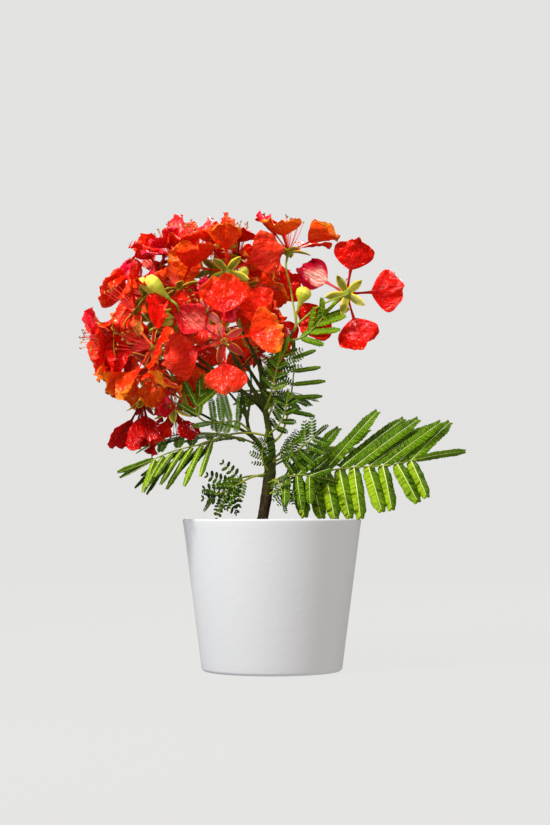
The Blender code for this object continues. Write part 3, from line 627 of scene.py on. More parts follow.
clearance = dict(touch=0.3, free=0.5, trimStep=0.2)
spans = 2  # steps of a limb's curve between two of its points, in the rule
fineSpans = 8  # and in the bark
trunk = dict(
    lean=((-12.5, 0, -13.7), (-10.5, 0, -6), (-9.0, 0, 2), (-5.5, 0, 23), (-2.0, 0, 46)),
    radii=(9.0, 6.4, 5.3, 5.6, 6.2), sides=10)
limbSides = 6
limbs = {
    "stem_right": (((-2, 0, 46), (0, 0, 64), (-1.5, 0, 79), (-4, -1, 94), (-8, -1, 117),
                    (-10, -2, 138)), 4.3, 2.3),
    "stem_left": (((-3, -1, 47), (-9, -2, 65), (-14, -3, 77), (-22, -4, 86), (-26, -5, 104)),
                  3.0, 1.6),
    "bough_right": (((-10, -2, 137), (-4, -3, 150), (8, -4, 168), (23, -5, 191)), 2.2, 1.5),
    "bough_centre": (((-10, -2, 137), (-14, -4, 156), (-24, -6, 178), (-32, -6, 192)), 1.9, 1.4),
    "bough_upper_left": (((-8, -1, 117), (-18, -8, 128), (-28, -15, 146), (-38, -22, 164),
                          (-48, -26, 178)), 2.5, 1.5),
    "bough_left": (((-7, -1, 112), (-24, -8, 124), (-40, -9, 133), (-62, -10, 147),
                    (-88, -10, 163)), 2.2, 1.4),
    "bough_low_left": (((-16, -3, 79), (-32, -9, 90), (-55, -15, 97), (-78, -18, 109)), 1.8, 1.2),
    "bough_top": (((-9, -2, 128), (-22, 6, 148), (-42, 12, 180), (-58, 10, 207)), 2.0, 1.4),
    "bough_back_right": (((-8, -1, 122), (-8, 14, 140), (-14, 32, 166), (-18, 40, 186)), 2.0, 1.4),
    "bough_back_left": (((-6, -1, 106), (-22, 14, 122), (-52, 30, 145), (-80, 38, 166)), 2.2, 1.4),
}

# The space that the shapes placed so far take up
taken = []


def spaceOf(shape):
    low, high = (Vector(pick(p[i] for p in shape[0]) for i in range(3)) for pick in (min, max))
    return BVHTree.FromPolygons(*shape), low, high


def reserve(owner, shape):
    taken.append((owner, *spaceOf(shape)))


def isClear(owners, shape):
    # whether the shape misses every one but those whose owner starts with one of these names
    tree, low, high = spaceOf(shape)
    for other, otherTree, otherLow, otherHigh in taken:
        if other.startswith(owners):
            continue
        apart = any(low[i] > otherHigh[i] or high[i] < otherLow[i] for i in range(3))
        if not apart and tree.overlap(otherTree):
            return False
    return True


def placeTapered(owner, label, path, start, end, sides):
    # a round limb, cut back at its start until it clears what it grows from
    while not isClear(owner, tapered(path, start, end, sides, clearance["touch"])):
        path = cutStart(path, clearance["trimStep"])
    reserve(owner + label, tapered(path, start, end, sides))
    return path


def placeFirst(owner, tries, build, carrier=""):
    # the first of these tries that is clear of all but its carrier, whose space is then taken
    for attempt in tries:
        if isClear((owner, carrier or owner), build(*attempt, clearance["free"])):
            reserve(owner, build(*attempt, 0.0))
            return attempt
    return None


def trunkRadii(path, knotEvery):
    found = lengthsAlong(path)
    wanted = trunk["radii"]
    knots = [found[i * knotEvery] for i in range(len(wanted))]
    radii = []
    for at in found:
        i = min(sum(at >= knot for knot in knots), len(knots) - 1)
        part = (at - knots[i - 1]) / (knots[i] - knots[i - 1])
        radii.append(wanted[i - 1] + (wanted[i] - wanted[i - 1]) * part)
    return radii


def placeTrunk():
    path = seenPath(trunk["lean"], spans)
    shape = tube(path, trunkRadii(path, spans), trunk["sides"])
    for point in shape[0][:trunk["sides"]]:
        point.z = soil["top"] + clearance["touch"]
    reserve("trunk", shape)


def placeLimb(name):
    points, start, end = limbs[name]
    return placeTapered(name, "", seenPath(points, spans), start, end, limbSides)


bark = dict(
    voxel=0.58, easing=7, relief=0.42, stemRelief=0.16, scars=15.0, woodyTop=206.0, greenFrom=172.0,
    collar=0.44, collarReach=5.0, flare=0.16, flareHeight=22.0, buried=1.5,
    lobes=((0.4, 3, 0.6), (0.35, 5, 0.0)), trunkSides=40, limbSides=16)
barkTones = dict(
    wood=((0.3, (0.012, 0.006, 0.001)), (0.55, (0.042, 0.024, 0.004)),
          (0.75, (0.085, 0.055, 0.012))),
    green=((0.3, (0.022, 0.032, 0.002)), (0.6, (0.055, 0.075, 0.004)), (0.8, (0.1, 0.125, 0.008))),
    crust=(0.05, 0.034, 0.006), scar=(0.14, 0.11, 0.035))
# Twigs that the solids leave out: the points each runs through, its radius at both ends, its node
twigs = (
    (((-26, -5, 103), (-29, -9, 120), (-33, -16, 140), (-39, -22, 162)), 1.6, 0.9, "stem_left"),
    (((-25, -5, 100), (-22, -8, 118), (-21, -9, 140), (-24, -8, 160)), 1.5, 0.8, "stem_left"),
    (((-26, -5, 103), (-36, -7, 118), (-46, -9, 130), (-58, -10, 144)), 1.5, 0.9, "stem_left"),
    (((-9, -2, 124), (-4, -8, 140), (-2, -12, 158), (6, -14, 176)), 1.4, 0.8, "stem_right"),
)


def barkFinish():
    f = Finish("bark", Specular_IOR_Level=0.3)
    up = f.add("ShaderNodeSeparateXYZ", None, {0: f.place()}, "Z")
    patch = f.noise(90.0, 4.0, 0.6)
    grain = f.noise(420.0, 4.0, 0.65, (1, 1, 0.3))
    bands = f.noise(260.0, 3.0, 0.6, (0.25, 0.25, 1))
    age = f.step(up + (patch - 0.5) * 0.05, bark["greenFrom"] * mm, bark["woodyTop"] * mm)
    wood = f.ramp(grain, barkTones["wood"])
    green = f.ramp(patch, barkTones["green"])
    green = f.mix(f.step(grain, 0.58, 0.72) * 0.5, green, barkTones["crust"])
    tone = f.mix(age, wood, green)
    tone = f.mix(f.step(bands, 0.62, 0.7) * 0.35, tone, barkTones["scar"])
    return f.finish(tone, 0.72 + patch * 0.15, grain + bands * 0.8, 0.0005)


def barkLump(spot):
    # how far the skin stands out here, in mm: furrowed wood below, smoother green stem above
    b = bark
    woody = 1 - min(max((spot.z - b["greenFrom"]) / (b["woodyTop"] - b["greenFrom"]), 0.0), 1.0)
    furrow = abs(noise.noise(Vector((spot.x * 0.55, spot.y * 0.55, spot.z * 0.12))))
    crust = noise.noise(spot * 1.1)
    wander = 2.2 * noise.noise(spot * 0.06)
    ring = max(0.0, math.cos(math.tau * spot.z / b["scars"] + wander)) ** 14
    rough = b["relief"] * (1.7 * furrow - 0.55 + 0.35 * crust)
    fine = b["stemRelief"] * (noise.noise(spot * 0.45) + 1.6 * ring)
    return woody * rough + (1 - 0.6 * woody) * fine


def flareTrunk(points, centre):
    for point in points:
        above = (point.z - soil["top"]) / bark["flareHeight"]
        turn = math.atan2(point.y - centre.y, point.x - centre.x)
        lobes = sum(high * math.sin(count * turn + start) for high, count, start in bark["lobes"])
        spread = bark["flare"] * max(0.0, 1 - above) ** 2 * lobes
        point.x += (point.x - centre.x) * spread
        point.y += (point.y - centre.y) * spread
        point.z = max(point.z, soil["top"] - bark["buried"])


def makeBark():
    # one skin over the trunk and every limb, remeshed, eased and given its relief
    skin = Heap()
    path = seenPath(trunk["lean"], fineSpans)
    points, faces = tube(path, trunkRadii(path, fineSpans), bark["trunkSides"])
    flareTrunk(points, path[0])
    skin.put(points, faces, "trunk")
    for places, start, end, node in [(*limb, name) for name, limb in limbs.items()] + list(twigs):
        path = seenPath(places, fineSpans)
        found = lengthsAlong(path)
        collar = [max(0.0, 1 - at / (bark["collarReach"] * start)) ** 2 for at in found]
        radii = [start * (1 + bark["collar"] * swell) + (end - start) * at / found[-1]
                 for at, swell in zip(found, collar)]
        skin.put(*tube(path, radii, bark["limbSides"]), node)
    piece = pieceOf("bark", meshOf("bark", skin.points, skin.faces), [barkFinish()])
    remesh = piece.modifiers.new("skin", "REMESH")
    remesh.mode = "VOXEL"
    remesh.voxel_size = bark["voxel"] * mm
    remesh.use_smooth_shade = True
    ease = piece.modifiers.new("ease", "SMOOTH")
    ease.factor = 0.5
    ease.iterations = bark["easing"]
    graph = bpy.context.evaluated_depsgraph_get()
    skinned = bpy.data.meshes.new_from_object(piece.evaluated_get(graph))
    piece.modifiers.clear()
    piece.data = skinned
    places, normals = (np.empty(len(skinned.vertices) * 3) for _ in range(2))
    skinned.vertices.foreach_get("co", places)
    skinned.vertices.foreach_get("normal", normals)
    lumps = np.array([barkLump(Vector(p) / mm) for p in places.reshape(-1, 3)]) * mm
    places += normals * np.repeat(lumps, 3)
    skinned.vertices.foreach_set("co", places)
    skinned.polygons.foreach_set("use_smooth", [True] * len(skinned.polygons))
    skinned.update()
    settle(piece, skin.nodes)


# Flowers: the head each belongs to, its centre, the way it faces, the turn of its upper petal,
# how far its petals open from the way it faces, and a petal's length

flowers = {
    "one": ("right", (75, -10, 226), (0.1, 0.97, 0.2), 150, 88, 57),
    "two": ("right", (16, 0, 268), (0.12, 0.1, 1.0), 190, 62, 55),
    "three": ("front", (-45, -36, 248), (-0.12, 0.86, 0.48), 96, 82, 62),
    "four": ("front", (-48, -62, 178), (-0.1, -0.98, 0.05), 146, 84, 65),
    "five": ("left", (-136, -8, 209), (-0.78, -0.1, 0.62), 80, 62, 55),
    "sixteen": ("left", (-157, -20, 184), (-0.95, -0.15, -0.05), 62, 58, 48),
    "six": ("left", (-119, -46, 172), (-0.8, -0.5, 0.2), 130, 66, 60),
    "seven": ("low_left", (-129, -16, 124), (-0.05, -0.2, -0.97), 80, 15, 59),
    "eight": ("low_left", (-118, -32, 158), (0.05, -0.62, -0.78), 100, 60, 54),
    "nine": ("left", (-104, 6, 196), (-0.45, -0.6, 0.45), 60, 70, 50),
    "ten": ("top", (-74, -2, 262), (-0.4, -0.2, 0.88), 40, 54, 54),
    "eleven": ("front", (-93, -32, 231), (-0.3, 0.2, 0.93), 100, 66, 57),
    "twelve": ("centre", (-25, 10, 224), (0.8, 0.15, 0.4), 160, 66, 52),
    "thirteen": ("centre", (-18, 4, 168), (0.6, -0.3, -0.5), 60, 58, 48),
    "fourteen": ("low_left", (-100, 22, 114), (0.05, 0.4, -0.85), 20, 34, 40),
    "fifteen": ("top", (-112, 22, 244), (-0.6, -0.1, 0.75), 100, 62, 54),
    "seventeen": ("top", (-98, -12, 260), (-0.35, -0.55, 0.75), 60, 66, 52),
    "back_one": ("back_left", (-126, 62, 222), (-0.6, 0.7, 0.35), 100, 78, 54),
    "back_two": ("back_left", (-98, 82, 172), (-0.2, 0.95, 0.0), 100, 82, 57),
    "back_three": ("back_left", (-142, 44, 158), (-0.85, 0.4, -0.3), 60, 72, 52),
    "back_four": ("top", (-58, 52, 250), (-0.05, 0.7, 0.7), 90, 76, 56),
    "back_five": ("back_right", (-18, 76, 210), (0.2, 0.9, 0.3), 100, 80, 56),
    "back_six": ("back_right", (-52, 78, 190), (-0.2, 0.75, -0.55), 90, 70, 52),
}
# Flowers and buds that the solids leave out, which fill the plant's head between the others
fillers = {
    "fill_top": ("top", (-34, 2, 262), (0.15, -0.3, 0.94), 40, 50, 48),
    "fill_crown": ("top", (-80, 18, 264), (-0.15, 0.15, 0.97), 60, 58, 44),
    "fill_edge": ("left", (-146, -2, 172), (-0.8, -0.55, -0.1), 40, 60, 40),
    "fill_low": ("low_left", (-100, -18, 140), (0.1, -0.55, -0.8), 130, 56, 42),
    "fill_heart": ("front", (-66, -34, 208), (-0.35, -0.85, 0.3), 70, 64, 40),
    "fill_back": ("back_left", (-118, 72, 200), (-0.4, 0.8, 0.45), 70, 66, 46),
    "fill_back_right": ("back_right", (-30, 58, 232), (0.15, 0.45, 0.88), 70, 62, 48),
    "fill_back_top": ("top", (-92, 44, 256), (-0.4, 0.5, 0.76), 70, 62, 46),
}
fillBuds = {
    "fill_pear": ("left", (-106, -84, 224), (-126, -92, 244), 6.8),
    "fill_high": ("left", (-98, -62, 202), (-112, -70, 206), 3.4),
}
# Petals that stand apart from the even fifths of a turn: the degrees added to each, and its size
petalShifts = {
    "one": ((0, 1.1), (-2, 1), (-8, 1), (-3, 1), (2, 1)),
    "two": ((12, 1), (-10, 1), (0, 1), (0, 1), (-14, 1)),
    "four": ((0, 1), (-20, 1), (-16, 0.82), (12, 0.95), (16, 1)),
}
# Buds: the head, the two ends, and the radius
buds = {
    "one": ("left", (-110, -34, 220), (-134, -46, 242), 6.8),
    "two": ("left", (-112, -50, 194), (-100, -62, 200), 4.6),
    "three": ("right", (28, -12, 216), (34, -16, 233), 8.0),
    "four": ("centre", (-26, -22, 240), (-30, -26, 254), 5.0),
    "five": ("back_left", (-92, 66, 206), (-100, 80, 224), 6.2),
    "six": ("top", (-40, 28, 262), (-36, 30, 282), 5.6),
}
# Heads: the bough that carries each and the point its short stem runs to
heads = {
    "right": ("bough_right", (24, -5, 198)),
    "front": ("bough_upper_left", (-56, -27, 190)),
    "centre": ("bough_centre", (-32, -7, 202)),
    "left": ("bough_left", (-101, -11, 174)),
    "low_left": ("bough_low_left", (-90, -18, 117)),
    "top": ("bough_top", (-62, 14, 220)),
    "back_right": ("bough_back_right", (-22, 46, 194)),
    "back_left": ("bough_back_left", (-94, 42, 176)),
}
petals = dict(
    count=5, clawEnd=0.4, clawHalf=1.5, bladeHalf=0.35, standardHalf=0.27, standardLength=0.86,
    standardCloser=14, standardCup=0.3, lean=0.8, roundness=0.65, rows=(0.0, 0.4, 0.54, 0.78, 1.0),
    tip=0.5, halfThick=0.45, sway=9, bends=(-34, 6), cups=(0.05, 0.4), start=2.6)
headStem = dict(start=1.5, end=1.3, sides=5, ahead=1.5, stalksFrom=0.45, stalksOver=0.5)
stalkShape = dict(radius=1.0, straight=16.0, sides=4, hub=4.5, hubPlaces=(-5.0, -1.2, 3.4),
                  shares=(1.3, 1.0, 0.75))
sepalShape = dict(start=0.5, length=19.0, half=4.2, halfThick=0.7, middle=0.5, bend=-25, cup=0.2)
stamenShape = dict(start=1.5, length=36.0, rise=5.0,
                   profile=((0.0, 0.5), (0.86, 0.4), (0.93, 1.1), (1.0, 0.35)))
budShape = dict(
    sizes=(1.0, 0.85, 0.7), neck=0.3,
    profile=((-0.06, 0.2), (0.15, 0.42), (0.45, 0.9), (0.7, 1.0), (0.9, 0.72), (1.0, 0.25)))
# What each kind of thing tries in turn until it clears its neighbours: the tilt and the turn in
# degrees and the size of a petal, the tilt and the turn of a sepal and a stamen, a stalk's bow
petalTries = (
    (0, 0, 1), (12, 0, 1), (-12, 0, 1), (0, 12, 1), (0, -12, 1), (24, 0, 1), (-24, 0, 1),
    (12, 16, 1), (-12, -16, 1), (12, -16, 1), (-12, 16, 1), (-36, 0, 1), (0, 24, 0.9),
    (0, -24, 0.9), (-24, 20, 0.85), (-24, -20, 0.85), (24, 20, 0.85), (24, -20, 0.85),
    (0, 0, 0.8), (-40, 0, 0.8),
)
sepalTries = ((14, 0), (26, 0), (4, 0), (14, 12), (14, -12), (40, 0))
stamenTries = ((22, 0), (34, 0), (12, 0), (40, 20))
stalkTries = (
    (0, 0, 5), (0, 0, -6), (0, 8, 0), (0, -8, 0), (8, 0, 0), (-8, 0, 0), (0, 14, 6), (0, -14, 6),
    (12, 0, -8),
)


def blade(start, along, face, length, rows, bend, cup, pointed, grow=0.0):
    # a bent blade with four points to each of its rows: place, half width, half thickness
    side = along.cross(face)
    rings = []
    for place, halfWidth, halfThick in rows:
        turn = bend * place
        reach = length * place
        if abs(bend) > 1e-4:
            radius = length / bend
            raised = face * (radius * (1 - math.cos(turn)))
            middle = start + along * (radius * math.sin(turn)) + raised
        else:
            middle = start + along * reach
        out = face * math.cos(turn) - along * math.sin(turn)
        rise = out * (cup * halfWidth)
        edge = side * (halfWidth + grow)
        thick = out * (halfThick + grow)
        rings.append([middle - edge + rise, middle + thick, middle + edge + rise, middle - thick])
    if not pointed:
        return loft(rings)
    tip = rings.pop()
    return loft(rings, (tip[0] + tip[2]) / 2)


def leafBlade(start, along, face, length, rows, bend, cup, grow=0.0):
    # a blade that is pointed at its foot too
    points, faces = blade(start, along, face, length, rows, bend, cup, True, grow)
    foot = len(points)
    return [*points, start.copy()], faces[1:] + [((i + 1) % 4, i, foot) for i in range(4)]


def petalHalf(place, length, share):
    # half a petal's width at a place along it: the narrow claw, then the fan
    p = petals
    if place <= p["clawEnd"]:
        return p["clawHalf"]
    part = (place - p["clawEnd"]) / (1 - p["clawEnd"])
    fan = max(math.sin(math.pi * part**p["lean"]), 0.0) ** p["roundness"]
    return p["clawHalf"] + (share * length - p["clawHalf"]) * max(fan, p["tip"] * part**4)


def flowerAxes(facing):
    # the way a flower faces, and the two directions across it, right and up as seen from in front
    out = Vector(facing).normalized()
    up = Vector((0, 0, 1)) if abs(out.z) < 0.75 else Vector((0, 1, 0))
    up = (up - out * up.dot(out)).normalized()
    right = up.cross(out)
    if right.x + 0.3 * right.y < 0:
        right.negate()
    return out, right, up


def petalPlan(flower):
    # how each petal of a flower is turned, bent and sized; the first is the upper one
    p = petals
    _, _, _, spin, opening, length = {**flowers, **fillers}[flower]
    chance = random.Random("petals of " + flower)
    shifts = petalShifts.get(flower)
    plan = []
    for i in range(p["count"]):
        standard = i == 0
        shift, size = shifts[i] if shifts else (chance.uniform(-p["sway"], p["sway"]), 1)
        sway = chance.uniform(-p["sway"], p["sway"])
        size *= chance.uniform(0.94, 1.06) * (p["standardLength"] if standard else 1)
        closer, cupped = (p["standardCloser"], p["standardCup"]) if standard else (0, 0)
        bend = chance.uniform(*p["bends"])
        cup = chance.uniform(*p["cups"]) + cupped
        share = p["standardHalf"] if standard else p["bladeHalf"] * chance.uniform(0.92, 1.08)
        plan.append(dict(turn=spin + 360 / p["count"] * i + shift, opening=opening + sway - closer,
                         length=length * size, bend=bend, cup=cup, share=share))
    return plan


def spreadOut(centre, axes, turn, opening, start):
    # a place and the directions for a petal that leaves a flower's centre
    out, right, up = axes
    turn, opening = math.radians(turn), math.radians(opening)
    across = right * math.cos(turn) + up * math.sin(turn)
    along = out * math.cos(opening) + across * math.sin(opening)
    face = out * math.sin(opening) - across * math.cos(opening)
    return centre + along * start, along, face


def petalSolid(centre, axes, plan, tilt, turn, size, grow=0.0):
    turn, opening = plan["turn"] + turn, plan["opening"] + tilt
    start, along, face = spreadOut(centre, axes, turn, opening, petals["start"])
    length = plan["length"] * size
    rows = [(s, petalHalf(s, length, plan["share"]), petals["halfThick"]) for s in petals["rows"]]
    bend = math.radians(plan["bend"])
    return blade(start, along, face, length, rows, bend, plan["cup"], False, grow)


def sepalSolid(centre, axes, turn, opening, grow=0.0):
    s = sepalShape
    start, along, face = spreadOut(centre, axes, turn, opening, s["start"])
    rows = ((s["middle"], s["half"], s["halfThick"]), (1.0, 0.0, 0.0))
    return leafBlade(start, along, face, s["length"], rows, math.radians(s["bend"]), s["cup"], grow)


def stamenPath(centre, axes, turn, opening, places, length=stamenShape["length"]):
    start, along, face = spreadOut(centre, axes, turn, opening, stamenShape["start"])
    return [start + along * (length * t) + face * (stamenShape["rise"] * t * t) for t in places]


def stamenSolid(centre, axes, turn, opening, grow=0.0):
    path = stamenPath(centre, axes, turn, opening, [place for place, _ in stamenShape["profile"]])
    return tube(path, [radius for _, radius in stamenShape["profile"]], 3, grow)


def stalkPath(start, centre, facing, bow):
    before = centre - facing * min(stalkShape["straight"], 0.4 * (centre - start).length)
    middle = start.lerp(before, 0.5) + Vector(bow)
    return [start, middle, before, *(centre + facing * place for place in stalkShape["hubPlaces"])]


def stalkSolid(start, centre, facing, hub, bow, grow=0.0):
    s = stalkShape
    swell, hubBack, hubFront = s["shares"]
    radii = [s["radius"]] * 3 + [s["radius"] * swell, hub * hubBack, hub * hubFront]
    return tube(stalkPath(start, centre, facing, bow), radii, s["sides"], grow)


def placeHeads():
    found = {}
    for head, (bough, end) in heads.items():
        name = "blossom_" + head
        tip = limbPaths[bough][-1]
        ahead = (tip - limbPaths[bough][-2]).normalized()
        halfway = tip.lerp(seen(*end), 0.5) + ahead * headStem["ahead"]
        path = smoothPath([tip, halfway, seen(*end)], spans)
        size = [headStem[part] for part in ("start", "end", "sides")]
        path = placeTapered(name, "/stem", path, *size)
        found[head] = dict(name=name, path=path, tip=tip, ahead=ahead, stalks=[])
    for head, parts in found.items():
        placeStalks(head, parts, flowers, buds)
    return found


def placeStalks(head, parts, ownFlowers, ownBuds):
    wanted = []
    for flower, (owner, at, way, *_) in ownFlowers.items():
        if owner == head:
            facing = Vector(way).normalized()
            wanted.append(("/flower_" + flower, seen(*at), facing, stalkShape["hub"]))
    for bud, (owner, base, end, radius) in ownBuds.items():
        if owner == head:
            facing = (seen(*end) - seen(*base)).normalized()
            wanted.append(("/bud_" + bud, seen(*base), facing, radius * budShape["neck"]))
    for i, (label, centre, facing, hub) in enumerate(wanted):
        place = headStem["stalksFrom"] + headStem["stalksOver"] * i / len(wanted)
        start, _ = pointAlong(parts["path"], place)
        for bow in stalkTries:
            shape = stalkSolid(start, centre, facing, hub, bow, clearance["free"])
            if isClear(parts["name"], shape):
                break
        else:
            bow = stalkTries[0]
        reserve(parts["name"] + label, stalkSolid(start, centre, facing, hub, bow))
        parts["stalks"].append((start, centre, facing, hub, bow))


def placeFlowers(wanted):
    found = []
    for flower, (head, at, facing, spin, opening, _) in wanted.items():
        node = placedHeads[head]["name"]
        owner = node + "/flower_" + flower
        centre = seen(*at)
        axes = flowerAxes(facing)
        kept = dict(name=flower, node=node, centre=centre, axes=axes, spin=spin, opening=opening,
                    petals=[], sepals=[], stamen=None)
        for i, plan in enumerate(petalPlan(flower)):
            attempt = placeFirst(owner, petalTries,
                                 lambda *way: petalSolid(centre, axes, plan, *way))
            if attempt is not None:
                kept["petals"].append((i, plan, attempt))
        for i in range(petals["count"]):
            turn = spin + 360 / petals["count"] * (i + 0.5)
            attempt = placeFirst(
                owner, sepalTries, lambda tilt, aside, grow:
                sepalSolid(centre, axes, turn + aside, opening + tilt, grow))
            if attempt is not None:
                kept["sepals"].append((turn + attempt[1], opening + attempt[0]))
        kept["stamen"] = placeFirst(
            owner, stamenTries, lambda tilt, aside, grow:
            stamenSolid(centre, axes, spin + aside, tilt, grow))
        found.append(kept)
    return found


def placeBuds(wanted):
    found = []
    for bud, (head, base, end, radius) in wanted.items():
        start, tip = seen(*base), seen(*end)
        path = [start.lerp(tip, place) for place, _ in budShape["profile"]]
        owner = placedHeads[head]["name"] + "/bud_" + bud
        for size in budShape["sizes"]:
            radii = [radius * size * share for _, share in budShape["profile"]]
            shape = tube(path, radii, limbSides)
            if isClear(owner, shape):
                reserve(owner, shape)
                found.append((placedHeads[head]["name"], start, tip, radius * size))
                break
    return found


# Petals, finer: how the grid of points runs, then the outline, then what lifts it out of its plane
petalFine = dict(
    clawRows=6, bladeRows=28, columns=26, rowEase=0.9, halfThick=0.24, clawThicker=2.0,
    waist=0.4, breadth=1.13, widestAt=0.56, wedge=0.8, narrowing=0.26, endRound=0.15,
    jag=0.04, jagCounts=(1, 2, 3, 5), edge=3.5, rimFrom=0.2,
    crease=0.9, creaseWidth=0.18, twist=20, sideways=3.0, ruffle=(1.9, 4.0), ruffleFor=55,
    waves=(((2.6, 4.2), 1.0), ((6, 9), 0.62), ((12, 16), 0.26)),
    folds=6, foldLengths=(4.5, 14), foldDepth=0.066, standardDeeper=1.5, curl=3.0)
# A petal's colour at its heart, on its blade and at its rim
petalColours = {
    "scarlet": ((0.7, 0.005, 0.001), (0.93, 0.014, 0.001), (0.96, 0.06, 0.004)),
    "crimson": ((0.5, 0.002, 0.008), (0.82, 0.004, 0.02), (0.92, 0.034, 0.06)),
    "ruby": ((0.42, 0.002, 0.001), (0.73, 0.004, 0.001), (0.86, 0.02, 0.003)),
    "deep": ((0.28, 0.001, 0.001), (0.5, 0.002, 0.002), (0.66, 0.006, 0.004)),
    "orange": ((0.9, 0.04, 0.002), (0.99, 0.1, 0.002), (0.99, 0.18, 0.008)),
    "coral": ((0.66, 0.006, 0.004), (0.93, 0.032, 0.008), (0.97, 0.105, 0.034)),
    "flame": ((0.76, 0.01, 0.002), (0.96, 0.046, 0.002), (0.98, 0.28, 0.012)),
}
# The upper petal's ground, its streaks and its rim
standardColours = {
    "blush": ((0.93, 0.52, 0.42), (0.74, 0.01, 0.035), (0.76, 0.004, 0.04)),
    "gold": ((0.95, 0.42, 0.07), (0.84, 0.03, 0.006), (0.9, 0.05, 0.006)),
    "rose": ((0.93, 0.14, 0.1), (0.46, 0.002, 0.012), (0.82, 0.018, 0.022)),
}
# The finish of each petal of the flowers in front, the upper petal first; others draw theirs
flowerColours = {
    "one": "blush ruby ruby ruby ruby",
    "two": "crimson orange flame coral scarlet",
    "three": "flame orange scarlet scarlet coral",
    "four": "rose coral coral flame scarlet",
    "five": "crimson scarlet scarlet crimson coral",
    "sixteen": "gold crimson ruby orange scarlet",
    "six": "gold ruby flame scarlet ruby",
    "seven": "deep deep deep deep deep",
    "eight": "orange flame scarlet flame flame",
    "nine": "rose orange scarlet crimson coral",
    "ten": "rose coral crimson scarlet scarlet",
    "eleven": "rose crimson scarlet scarlet crimson",
    "twelve": "flame scarlet orange scarlet coral",
    "fourteen": "deep deep deep scarlet deep",
    "fifteen": "rose scarlet crimson scarlet scarlet",
}
petalMix = ("scarlet", "scarlet", "ruby", "crimson", "orange", "flame", "coral")
standardMix = ("blush", "gold", "rose")
petalLight = dict(Specular_Tint=(1.0, 0.66, 0.6, 1.0), Subsurface_Weight=0.12,
                  Subsurface_Scale=0.003)


def petalFinish(name, heart, blade, rim):
    f = Finish(name + "_petal", Specular_IOR_Level=0.62, Subsurface_Radius=(1.0, 0.2, 0.1),
               **petalLight)
    reach = f.attribute("reach")
    fan = f.attribute("fan")
    cloud = f.noise(70.0, 3.0)
    wander = f.noise(150.0, 3.0)
    veins = f.step(f.maths("SINE", fan * 34.0 + wander * 9.0) * 0.5 + 0.5, 0.8, 1.0)
    edge = f.step(reach + (cloud - 0.5) * 0.3, 0.7, 1.05)
    tone = f.mix(f.step(reach, 0.0, 0.6), heart, blade)
    tone = f.mix(edge * 0.9, tone, rim)
    tone = f.mix(f.step(cloud, 0.52, 0.78) * 0.4, tone, rim)
    tone = f.mix(f.step(wander, 0.5, 0.3) * 0.45, tone, heart)
    tone = f.mix(veins * 0.28, tone, tuple(0.7 * c for c in heart))
    crepe = f.noise(420.0, 3.0, 0.6)
    return f.finish(tone, 0.09 + cloud * 0.14, crepe * 0.5 + wander * 3.0 - veins * 0.3, 0.0014)


def standardFinish(name, ground, streak, rim):
    f = Finish(name + "_standard", Specular_IOR_Level=0.5, Subsurface_Radius=(1.0, 0.3, 0.2),
               **petalLight)
    reach = f.attribute("reach")
    fan = f.attribute("fan")
    wander = f.noise(120.0, 3.0)
    fleck = f.noise(380.0, 2.0)
    away = f.maths("ABSOLUTE", fan) * 0.5 + reach * 0.8 + (wander - 0.5) * 0.9
    middle = f.step(away, 0.8, 0.3)
    lines = f.maths("SINE", fan * 38.0 + wander * 16.0) * 0.5 + 0.5
    streaks = f.step(lines + (fleck - 0.5) * 1.6, 0.45, 0.95)
    tone = f.mix(middle, rim, ground)
    tone = f.mix(streaks * 0.6, tone, streak)
    tone = f.mix(f.step(reach, 0.12, 0.0) * 0.8, tone, streak)
    return f.finish(tone, 0.12 + wander * 0.12, fleck * 0.5 + wander * 3.0 - streaks * 0.3, 0.0013)


def bentSheet(start, along, face, length, bend, place, wide, lift):
    # a grid of points on a sheet that bends along its length, and the way out of it
    turn = bend * place
    radius = length / bend
    ways = [np.array(v[:]) for v in (start, along, face, along.cross(face))]
    foot, ahead, up, side = (v[None, None, :] for v in ways)
    forward = ahead * (radius * np.sin(turn))[..., None]
    raised = up * (radius * (1 - np.cos(turn)))[..., None]
    out = up * np.cos(turn)[..., None] - ahead * np.sin(turn)[..., None]
    return foot + forward + raised + side * wide[..., None] + out * lift[..., None], out


def twoSkins(skin, out, thin):
    # the points and faces of a closed body, this far out on either side of a sheet
    sides = [(skin + out * thin).reshape(-1, 3), (skin - out * thin).reshape(-1, 3)]
    return np.concatenate(sides), closedGrid(*skin.shape[:2])


